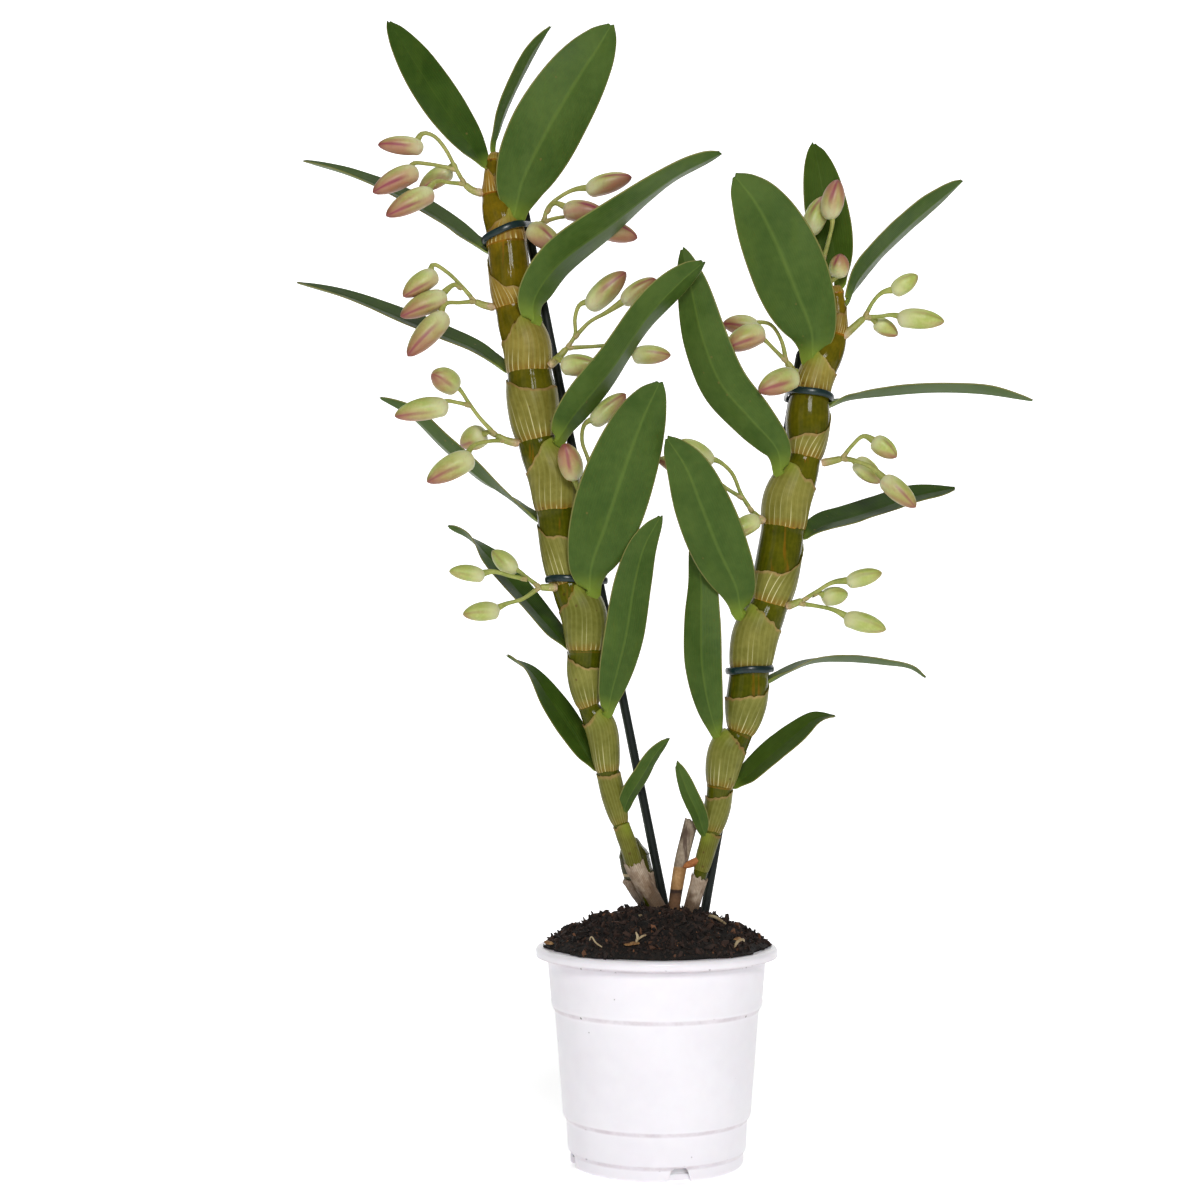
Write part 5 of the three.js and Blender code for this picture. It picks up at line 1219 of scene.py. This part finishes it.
def draw_spray(name, spray, flush, seed):
    """Stalk, stems with their bracts, and buds of one spray."""
    dice = np.random.default_rng(seed)
    draft = Draft("part", "seam", "flush", "shade", "dry", "pink")
    stalk = spray["stalk"]
    girth = np.linspace(2.18, 1.62, len(stalk))
    draw_rod(draft, [(*p, r) for p, r in zip(stalk, girth)], material=1, pink=0.1 + 0.2 * flush,
        dry=0.85 * smooth(0.55, 0.1, np.linspace(0, 1, ROD_ROWS))[:, None])
    start, end = np.array(stalk[0], float), np.array(stalk[-1], float)
    draw_bract(draft, start, end - start, (0.3, -1, -0.4), 4.4, 2.4, material=1, dry=0.8, pink=0.4)
    for k, bud in enumerate(spray["buds"]):
        pinker = float(np.clip(flush + dice.uniform(-0.14, 0.14), 0, 1))
        stem = [*bud["stem"], draw_bud(draft, bud, pinker, seed + 7 * k)]
        girth = np.r_[1.3, np.full(len(stem) - 3, 1.0), 1.2, 2.3]
        draw_rod(draft, [(*p, r) for p, r in zip(stem, girth)], material=1, pink=0.04 + 0.2 * pinker)
        first, second = np.array(stem[0], float), np.array(stem[1], float)
        draw_bract(draft, first, second - first, (dice.uniform(-0.6, 0.6), -1, -0.5), 3.6, 1.8, material=1,
            dry=0.3, pink=0.3)
    dress(draft.build(name, [BUD, STEM]), "bud", name)


# ---------------------------------------------------------------- pot


def rounded(outline, steps=4):
    """Corners of an outline of (x, y, rounding) turned into short arcs."""
    corners = np.array([corner[:2] for corner in outline], float)
    made = [corners[0]]
    for before, here, after, (_, _, radius) in zip(corners, corners[1:], corners[2:], outline[1:]):
        cut = min(radius, 0.45 * np.linalg.norm(before - here), 0.45 * np.linalg.norm(after - here))
        first, second = here + unit(before - here) * cut, here + unit(after - here) * cut
        made += [bow_at(first, here, second, t) for t in np.linspace(0, 1, steps)]
    return np.array([*made, corners[-1]])


def prism(name, section, low, high, place):
    """Plain prism for cutting, over a section of (a, b) points; place(a, b, c) gives its points."""
    count = len(section)
    points = [np.array(place(a, b, level), float) * MM for level in (low, high) for a, b in section]
    faces = [tuple(range(count))[::-1], tuple(range(count, 2 * count))]
    faces += [(k, (k + 1) % count, (k + 1) % count + count, k + count) for k in range(count)]
    mesh = bpy.data.meshes.new(name)
    mesh.from_pydata([tuple(p) for p in points], [], faces)
    work = bmesh.new()
    work.from_mesh(mesh)
    bmesh.ops.recalc_face_normals(work, faces=work.faces)
    work.to_mesh(mesh)
    work.free()
    return stand(name, mesh)


def settle(piece):
    """Turns a piece's modifiers into plain mesh."""
    view = bpy.context.evaluated_depsgraph_get()
    made = bpy.data.meshes.new_from_object(piece.evaluated_get(view))
    piece.modifiers.clear()
    piece.data = made
    return piece


def sharpen(piece, degrees=35):
    """Keeps edges sharper than this angle crisp."""
    work = bmesh.new()
    work.from_mesh(piece.data)
    for edge in work.edges:
        edge.smooth = len(edge.link_faces) == 2 and edge.calc_face_angle(0) < math.radians(degrees)
    work.to_mesh(piece.data)
    work.free()


def drain_cutters():
    """Round tools for the drain holes in the floor."""
    tools = []
    for k in range(DRAIN_HOLES):
        at = TURN * (k + 0.5) / DRAIN_HOLES
        hole = [(DRAIN_CIRCLE * math.cos(at) + DRAIN_RADIUS * math.cos(a),
            DRAIN_CIRCLE * math.sin(at) + DRAIN_RADIUS * math.sin(a)) for a in circle(24)]
        tools.append(prism(f"drain {k}", hole, *DRAIN_SPAN, lambda a, b, c: (a, b, c)))
    return tools


def arch_cutters():
    """Tools for the arches in the pot's foot."""
    half, tools = ARCH_WIDTH / 2, []
    arch = [(-half, -1), (half, -1), (half * 0.62, ARCH_HEIGHT - 1.5), (half * 0.42, ARCH_HEIGHT),
        (-half * 0.42, ARCH_HEIGHT), (-half * 0.62, ARCH_HEIGHT - 1.5)]
    for k in range(ARCHES):
        at = math.radians(ARCH_TURN) + TURN * k / ARCHES
        tools.append(prism(f"arch {k}", arch, *ARCH_SPAN, lambda a, b, c, x=math.cos(at), y=math.sin(at):
            (x * c - y * a, y * c + x * a, b)))
    return tools


def draw_pot():
    profile = rounded(POT_OUTLINE)
    turn = circle(POT_COLUMNS)
    points = [profile[:, :1] * np.cos(turn), profile[:, :1] * np.sin(turn), profile[:, 1:] + 0 * turn]
    draft = Draft()
    draft.add(np.stack(points, -1))
    pot = draft.build("pot", [POT])
    tools = drain_cutters() + arch_cutters()
    for tool in tools:
        cut = pot.modifiers.new(tool.name, "BOOLEAN")
        cut.operation, cut.solver, cut.object = "DIFFERENCE", "EXACT", tool
    settle(pot)
    pot.data.shade_smooth()
    sharpen(pot)
    for tool in tools:
        bpy.data.objects.remove(tool)
    dress(pot, "pot", "pot")


def draw_webs():
    """Thin walls close behind the arches in the pot's foot."""
    draft = Draft()
    (inside, outside), (bottom, top) = WEB_RADII, WEB_HEIGHTS
    radius, height = np.array([inside, outside, outside, inside]), np.array([bottom, bottom, top, top])
    for k in range(ARCHES):
        turn = math.radians(ARCH_TURN) + TURN * k / ARCHES + np.linspace(-WEB_TURN, WEB_TURN, 13)[:, None]
        draft.add(np.stack([radius * np.cos(turn), radius * np.sin(turn), height + 0 * turn], -1))
    dress(draft.build("arch_webs", [POT], smooth_faces=False), "pot")


# ---------------------------------------------------------------- potting mix


def mix_height(radius, angle):
    """Height of the heaped surface, with rolling lumps."""
    fall = (radius / MOUTH_RADIUS) ** 2.2
    lumps = np.sin(5 * angle + radius * 0.4) + np.cos(7 * angle - radius * 0.9)
    return HEAP_TOP + (HEAP_EDGE - HEAP_TOP) * fall + 1.3 * lumps * (1 - np.minimum(fall, 1) ** 3)


def draw_mix():
    """Heaped mix with a ragged edge that lies on the lip, closed below."""
    turn = circle(MIX_COLUMNS)[None, :]
    edge = MOUTH_RADIUS + 2.6 + np.sin(5 * turn) + 1.1 * np.cos(9 * turn + 1)
    edge = edge + 0.5 * wave_noise(4, 17 * turn) + 0.8 * np.sin(31 * turn) * np.sin(12 * turn)
    edge = edge + 0.5 * wave_noise(5, 29 * turn)
    part = np.linspace(0.02, 1, MIX_ROWS)[:, None]
    radius = part * (edge - 0.8)
    grain = wave_noise(11, radius * 0.9 * np.cos(turn), radius * 0.9 * np.sin(turn))
    grain = grain + 0.7 * wave_noise(12, radius * 1.7 * np.cos(turn + 1), radius * 1.7 * np.sin(turn + 1))
    height = np.maximum(mix_height(radius, turn) + 0.55 * grain * (1 - 0.6 * part**6), 107.2)
    skirt = [(edge, 107.0), (edge, 106.35), (edge - 2.2, 106.25),
        (51.2 + 0 * edge, 104), (50.9 + 0 * edge, 96)]
    radius = np.concatenate([radius, *(reach for reach, _ in skirt)])
    height = np.concatenate([height, *(level + 0 * edge for _, level in skirt)])
    draft = Draft("open_top")
    draft.add(np.stack([radius * np.cos(turn), radius * np.sin(turn), height], -1),
        open_top=np.r_[smooth(1.02, 0.9, part[:, 0]) * 0.5 + 0.5, np.zeros(len(skirt))][:, None])
    return dress(draft.build("potting_mix", [SOIL]), "mix", "potting_mix")


def chip_shapes(name, size, count, seed):
    """A few irregular chips to strew, in a collection of their own."""
    dice = np.random.default_rng(seed)
    group = bpy.data.collections.new(name)
    bpy.context.scene.collection.children.link(group)
    for k in range(count):
        work = bmesh.new()
        for corner in dice.uniform(-1, 1, (13, 3)):
            work.verts.new(corner * size * dice.uniform(0.8, 1.2) * MM / 2)
        bmesh.ops.convex_hull(work, input=work.verts)
        bmesh.ops.delete(work, geom=[v for v in work.verts if not v.link_faces], context="VERTS")
        bmesh.ops.recalc_face_normals(work, faces=work.faces)
        mesh = bpy.data.meshes.new(f"{name} {k}")
        work.to_mesh(mesh)
        work.free()
        group.objects.link(bpy.data.objects.new(f"{name} {k}", mesh))
    return group


def strew_group():
    """Geometry nodes that strew copies of some shapes over the open top of a ground mesh."""
    w, given, result = new_group("Strew", "GeometryNodeTree",
        [("Ground", "NodeSocketGeometry", None), ("Shapes", "NodeSocketCollection", None),
            ("Density", "NodeSocketFloat", 1e5), ("Smallest", "NodeSocketFloat", 0.6),
            ("Largest", "NodeSocketFloat", 1.4), ("Lean", "NodeSocketFloat", 0.6),
            ("Lift", "NodeSocketFloat", 0.0), ("Seed", "NodeSocketInt", 1),
            ("Material", "NodeSocketMaterial", None)],
        [("Chips", "NodeSocketGeometry")])
    cover = w.node("GeometryNodeInputNamedAttribute", {"Name": "open_top"}, data_type="FLOAT").outputs[0]
    spread = w.node("GeometryNodeDistributePointsOnFaces", {"Mesh": given["Ground"],
        "Density": w.times(cover, given["Density"]), "Seed": given["Seed"]})
    raised = w.node("GeometryNodeSetPosition", {"Geometry": spread.outputs["Points"],
        "Offset": w.node("ShaderNodeCombineXYZ", {2: given["Lift"]}).outputs[0]})
    lean = w.node("ShaderNodeCombineXYZ", {0: given["Lean"], 1: given["Lean"], 2: 3.1416}).outputs[0]
    other = w.node("ShaderNodeVectorMath", {0: lean, "Scale": -1.0}, operation="SCALE").outputs[0]
    turned = w.node("FunctionNodeRandomValue", {"Min": other, "Max": lean, "Seed": 5},
        data_type="FLOAT_VECTOR")
    size = w.node("FunctionNodeRandomValue", {2: given["Smallest"], 3: given["Largest"], "Seed": 6},
        data_type="FLOAT")
    shapes = w.node("GeometryNodeCollectionInfo", {"Collection": given["Shapes"], "Separate Children": True,
        "Reset Children": True})
    placed = w.node("GeometryNodeInstanceOnPoints", {"Points": raised.outputs[0],
        "Instance": shapes.outputs[0], "Pick Instance": True, "Rotation": turned.outputs[0],
        "Scale": size.outputs[1]})
    tone = w.node("FunctionNodeRandomValue", {"Seed": 9}, data_type="FLOAT")
    toned = w.node("GeometryNodeStoreNamedAttribute", {"Geometry": placed.outputs[0], "Name": "tone",
        "Value": tone.outputs[1]}, data_type="FLOAT", domain="INSTANCE")
    real = w.node("GeometryNodeRealizeInstances", {0: toned.outputs[0]})
    painted = w.node("GeometryNodeSetMaterial", {"Geometry": real.outputs[0], "Material": given["Material"]})
    w.feed(result, "Chips", painted.outputs[0])
    return w.tree


def strew(name, ground, tree, **inputs):
    """One piece of strewn shapes; inputs are set by their names."""
    piece = stand(name, ground.data.copy())
    made = piece.modifiers.new("Strew", "NODES")
    made.node_group = tree
    keys = {item.name: item.identifier for item in tree.interface.items_tree if item.in_out == "INPUT"}
    for key, value in inputs.items():
        made[keys[key]] = value
    dress(settle(piece), "mix")


def strew_mix(mix):
    """Bark chips, crumbs and fibres over the heap."""
    tree = strew_group()
    chips = chip_shapes("bark chip", np.array([4.6, 2.6, 1.3]), 6, 3)
    crumbs = chip_shapes("crumb", np.array([1.7, 1.2, 0.9]), 5, 4)
    fibres = chip_shapes("fibre", np.array([6.0, 0.35, 0.3]), 4, 5)
    strew("strewn_chips", mix, tree, Shapes=chips, Density=7.5e4, Smallest=0.5, Largest=1.5, Lean=1.2,
        Lift=0.0004, Seed=3, Material=CHIPS)
    strew("strewn_crumbs", mix, tree, Shapes=crumbs, Density=2.6e5, Smallest=0.4, Largest=1.3, Lean=3.0,
        Lift=0.0002, Seed=4, Material=CHIPS)
    strew("strewn_fibres", mix, tree, Shapes=fibres, Density=2.4e4, Smallest=0.5, Largest=1.4, Lean=0.9,
        Lift=0.0009, Seed=5, Material=CHIPS)
    for group in (chips, crumbs, fibres):
        for shape in list(group.objects):
            bpy.data.objects.remove(shape)
        bpy.data.collections.remove(group)


def draw_tan_bark():
    """Flakes of tan bark that lie on the mix."""
    draft = Draft()
    for k, (x, y, z, long, wide, turn) in enumerate(TAN_FLAKES):
        rows, angle = np.linspace(-1, 1, 12)[:, None], circle(14)[None, :]
        rough = 1 + 0.22 * wave_noise(60 + k, 3 * rows, 2 * np.cos(angle), 2 * np.sin(angle))
        shape = np.sqrt(np.clip(1 - np.abs(rows) ** 3.5, 0.02, 1)) * rough
        a, b = rows * long / 2 + 0 * angle, np.cos(angle) * shape * wide / 2
        c = np.sin(angle) * shape * 0.8 + 0.25 * rows
        cos, sin = math.cos(turn), math.sin(turn)
        draft.add(np.stack([x + a * cos - b * sin, y + a * sin + b * cos, z + c], -1))
    dress(draft.build("tan_bark", [TAN]), "mix")


def draw_root_tips():
    """Pale root tips and hairs that show at the surface of the mix."""
    draft = Draft()
    for path in ROOT_TIPS:
        draw_rod(draft, path, columns=10, rows=20)
    dress(draft.build("root_tips", [ROOT]), "mix")


# ---------------------------------------------------------------- old growth, stakes and ties


def draw_old_bulb():
    """Squat old bulb with two rings, and the dry sheath that peels off its foot."""
    draft = Draft()
    parts = np.linspace(0, 1, BULB_ROWS)
    line, turn = along(OLD_BULB, parts), circle(BULB_COLUMNS)[None, :]
    heights = line[:, 2]
    radius = line[:, 3] * (1 + 0.02 * np.sin(9 * parts))
    for ring in BULB_RINGS:
        radius = radius + 0.4 * bell(heights - ring, 0.8)
    radius = radius * np.sqrt(1 - np.clip((parts - 0.86) / 0.145, 0, 1) ** 2)
    flutes = 1 + 0.035 * np.cos(9 * turn) * smooth(1.0, 0.8, parts)[:, None]
    draft.add(rings(line[:, :3], radius[:, None] * flutes, BULB_COLUMNS))
    husk = line[np.searchsorted(heights, 118) : np.searchsorted(heights, 139)]
    tear = 1 + 0.03 * wave_noise(71, 6 * turn + 0 * husk[:, :1], husk[:, 2:3] * 0.4)
    rows = np.linspace(0, 1, len(husk))[:, None]
    outer = rings(husk[:, :3], (husk[:, 3:] + 0.45 + 0.6 * rows**3) * tear, BULB_COLUMNS)
    outer[..., 2] += 1.6 * wave_noise(72, 3 * turn) * rows**4
    inner = rings(husk[:, :3], (husk[:, 3:] - 0.4) * tear, BULB_COLUMNS)[::-1]
    draft.add(np.concatenate([outer, inner]), ring=True, material=1,
        v=np.r_[np.linspace(0.3, 1, len(husk)), np.ones(len(husk) + 1)])
    dress(draft.build("old_bulb", [BULB, PAPERY]), "bulb", "old_bulb")


def draw_dry_stub():
    """Cut, dry stub with a hollow end and one orange scale."""
    draft = Draft("hollow", "scale")
    draw_bract(draft, (22.4, 6.5, 147.6), (-1, 0.1, -0.4), (0, -1, 0), 9.5, 2.6, scale=1.0)
    line, turn = along(DRY_STUB, np.linspace(0, 1, STUB_ROWS)), circle(STUB_COLUMNS)[None, :]
    rough = wave_noise(73, 3 * np.cos(turn) + 0 * line[:, :1], 3 * np.sin(turn), line[:, 2:3] * 0.05)
    outer = rings(line[:, :3], line[:, 3:] * (1 + 0.07 * rough), STUB_COLUMNS)
    outer[-1, :, 2] += 0.9 * wave_noise(74, 4 * turn[0])
    end = outer[-1].mean(0)
    rim = outer[-1] * 0.6 + end * 0.4
    inner = [outer[-1] * 0.3 + end * 0.7 - [0, 0, depth] for depth in (2.5, 5.0)]
    draft.add(np.concatenate([outer, [rim], inner]), hollow=np.r_[np.zeros(STUB_ROWS), 0.5, 1, 1][:, None])
    dress(draft.build("dry_stub", [STUB]), "stub", "dry_stub")


def draw_stake(name, ends):
    """Round stake with blunt ends."""
    parts = np.r_[0, 0.004, np.linspace(0.01, 0.99, 60), 0.996, 1]
    line = along([(*end, STAKE_RADIUS) for end in ends], parts)
    blunt = np.ones(len(parts))
    blunt[[0, -1]], blunt[[1, -2]] = 0.6, 0.93
    radius = line[:, 3] * blunt * (1 + 0.012 * np.sin(np.arange(len(parts)) * 1.7))
    draft = Draft()
    draft.add(rings(line[:, :3], radius[:, None], STAKE_COLUMNS))
    dress(draft.build(name, [STAKE]), "stake", name)


def belt(away, first, second):
    """Even points, and their run, of a belt round two posts; the second one stands away from the first."""
    heading, lean = math.atan2(away[1], away[0]), math.acos((first - second) / np.linalg.norm(away))
    big = np.linspace(heading + lean, heading - lean + TURN, 60)
    small = np.linspace(heading - lean, heading + lean, 24)
    path = np.concatenate([np.stack([np.cos(big), np.sin(big)], -1) * first,
        np.stack([np.cos(small), np.sin(small)], -1) * second + away])
    path = np.vstack([path, path[:1]])
    run = run_along(path)
    at = np.linspace(0, run[-1], TIE_ROWS, endpoint=False)
    return np.stack([np.interp(at, run, path[:, i]) for i in range(2)], -1), at


def draw_tie(name, cane, node, height, tilt, stake):
    """Soft tube drawn tight round a cane and its stake."""
    middle = cane.middle_at(height)
    foot, top = (np.array(end, float) for end in stake)
    post = foot + (top - foot) * (height - foot[2]) / (top[2] - foot[2])
    first = cane.nodes[node]["ring"][3] + SHEATH_ROOM + TIE_REACH
    path, run = belt((post - middle)[:2], first, STAKE_RADIUS + TIE_REACH)
    ahead = unit(np.roll(path, -1, axis=0) - np.roll(path, 1, axis=0))
    out = np.stack([ahead[:, 1], -ahead[:, 0]], -1)
    angle = circle(TIE_COLUMNS)[None, :]
    flat = path[:, None] + out[:, None] * (TIE_HALF_WIDTH * np.cos(angle))[..., None]
    x, z = flat[..., 0], TIE_HALF_HEIGHT * np.sin(angle) + 0.15 * np.sin(run / 3.0)[:, None]
    cos, sin = math.cos(math.radians(tilt)), math.sin(math.radians(tilt))
    points = np.stack([x * cos - z * sin, flat[..., 1], x * sin + z * cos], -1)
    draft = Draft()
    draft.add(points + [middle[0], middle[1], height], ring=True)
    dress(draft.build(name, [TIE]), "tie", name)


# ---------------------------------------------------------------- assembly

draw_pot()
draw_webs()
strew_mix(draw_mix())
draw_tan_bark()
draw_root_tips()
draw_old_bulb()
draw_dry_stub()
left = draw_cane("cane_left", LEFT_CANE, LEFT_SHEATHS, LEFT_LEAVES, LEFT_HUSK, 81)
right = draw_cane("cane_right", RIGHT_CANE, RIGHT_SHEATHS, RIGHT_LEAVES, RIGHT_HUSK, 84)
for side, cane, leaves, sprays, flushes, seed in (("left", left, LEFT_LEAVES, LEFT_SPRAYS, LEFT_FLUSH, 0),
        ("right", right, RIGHT_LEAVES, RIGHT_SPRAYS, RIGHT_FLUSH, 40)):
    for k, leaf in enumerate(leaves):
        draw_leaf(f"leaf_{side}_{k + 1:02d}", cane, leaf, 100 + k + seed)
    for k, (spray, flush) in enumerate(zip(sprays, flushes)):
        draw_spray(f"spray_{side}_{k + 1:02d}", spray, flush, 300 + 20 * k + 5 * seed)
draw_stake("stake_left", LEFT_STAKE)
draw_stake("stake_right", RIGHT_STAKE)
draw_tie("tie_left_lower", left, 5, 288, 0, LEFT_STAKE)
draw_tie("tie_left_upper", left, 10, 462.8, 22, LEFT_STAKE)
draw_tie("tie_right_lower", right, 4, 242.5, 3, RIGHT_STAKE)
draw_tie("tie_right_upper", right, 8, 381, -9, RIGHT_STAKE)

# ---------------------------------------------------------------- studio


def glowing(name, glow):
    """Pale matt material that shines a little by itself."""
    made = bpy.data.materials.new(name)
    made.use_nodes = True
    shader = made.node_tree.nodes["Principled BSDF"]
    shader.inputs["Base Color"].default_value = (0.9, 0.9, 0.9, 1)
    shader.inputs["Roughness"].default_value = 0.9
    shader.inputs["Emission Color"].default_value = (1, 1, 1, 1)
    shader.inputs["Emission Strength"].default_value = glow
    return made


def draw_floor():
    """Pale floor that curves up into a brighter backdrop."""
    bend = np.linspace(0.1, math.pi / 2, 12)
    y = np.r_[-3000, 500, 1600, 1600 + 700 * np.sin(bend), 2300]
    z = np.r_[0, 0, 0, 700 - 700 * np.cos(bend), 2600]
    points = [(a * MM, b * MM, c * MM) for b, c in zip(y, z) for a in (-3000, 3000)]
    faces = [(2 * k, 2 * k + 1, 2 * k + 3, 2 * k + 2) for k in range(len(y) - 1)]
    mesh = bpy.data.meshes.new("studio_floor")
    mesh.from_pydata(points, [], faces)
    mesh.shade_smooth()
    mesh.materials.append(glowing("Studio floor", 0.46))
    mesh.materials.append(glowing("Studio backdrop", 0.9))
    for face in mesh.polygons:
        face.material_index = int(face.center.y > 1.0)
    floor = stand("studio_floor", mesh)


def hang_lamps():
    """Three soft lamps that aim at the middle of the plant, and a pale surround."""
    aim = np.array([0, 0, 0.3])
    for name, power, size, place in LAMPS:
        light = bpy.data.lights.new(name, "AREA")
        light.energy, light.size = power, size
        lamp = stand(name, light)
        lamp.location = place
        way = aim - np.array(place)
        tilt, turn = math.acos(-way[2] / np.linalg.norm(way)), math.atan2(way[1], way[0]) - math.pi / 2
        lamp.rotation_euler = (tilt, 0, turn)
    world = bpy.data.worlds.new("Surround")
    world.use_nodes = True
    world.node_tree.nodes["Background"].inputs["Color"].default_value = (1, 1, 1, 1)
    world.node_tree.nodes["Background"].inputs["Strength"].default_value = 0.2
    bpy.context.scene.world = world


def place_camera():
    lens = bpy.data.cameras.new("camera")
    lens.lens, lens.sensor_width = LENS, SENSOR
    camera = stand("camera", lens)
    camera.location = CAMERA_PLACE
    camera.rotation_euler = (math.radians(CAMERA_TILT), 0, 0)
    bpy.context.scene.camera = camera


draw_floor()
hang_lamps()
place_camera()
bpy.context.scene.view_settings.view_transform = "Standard"
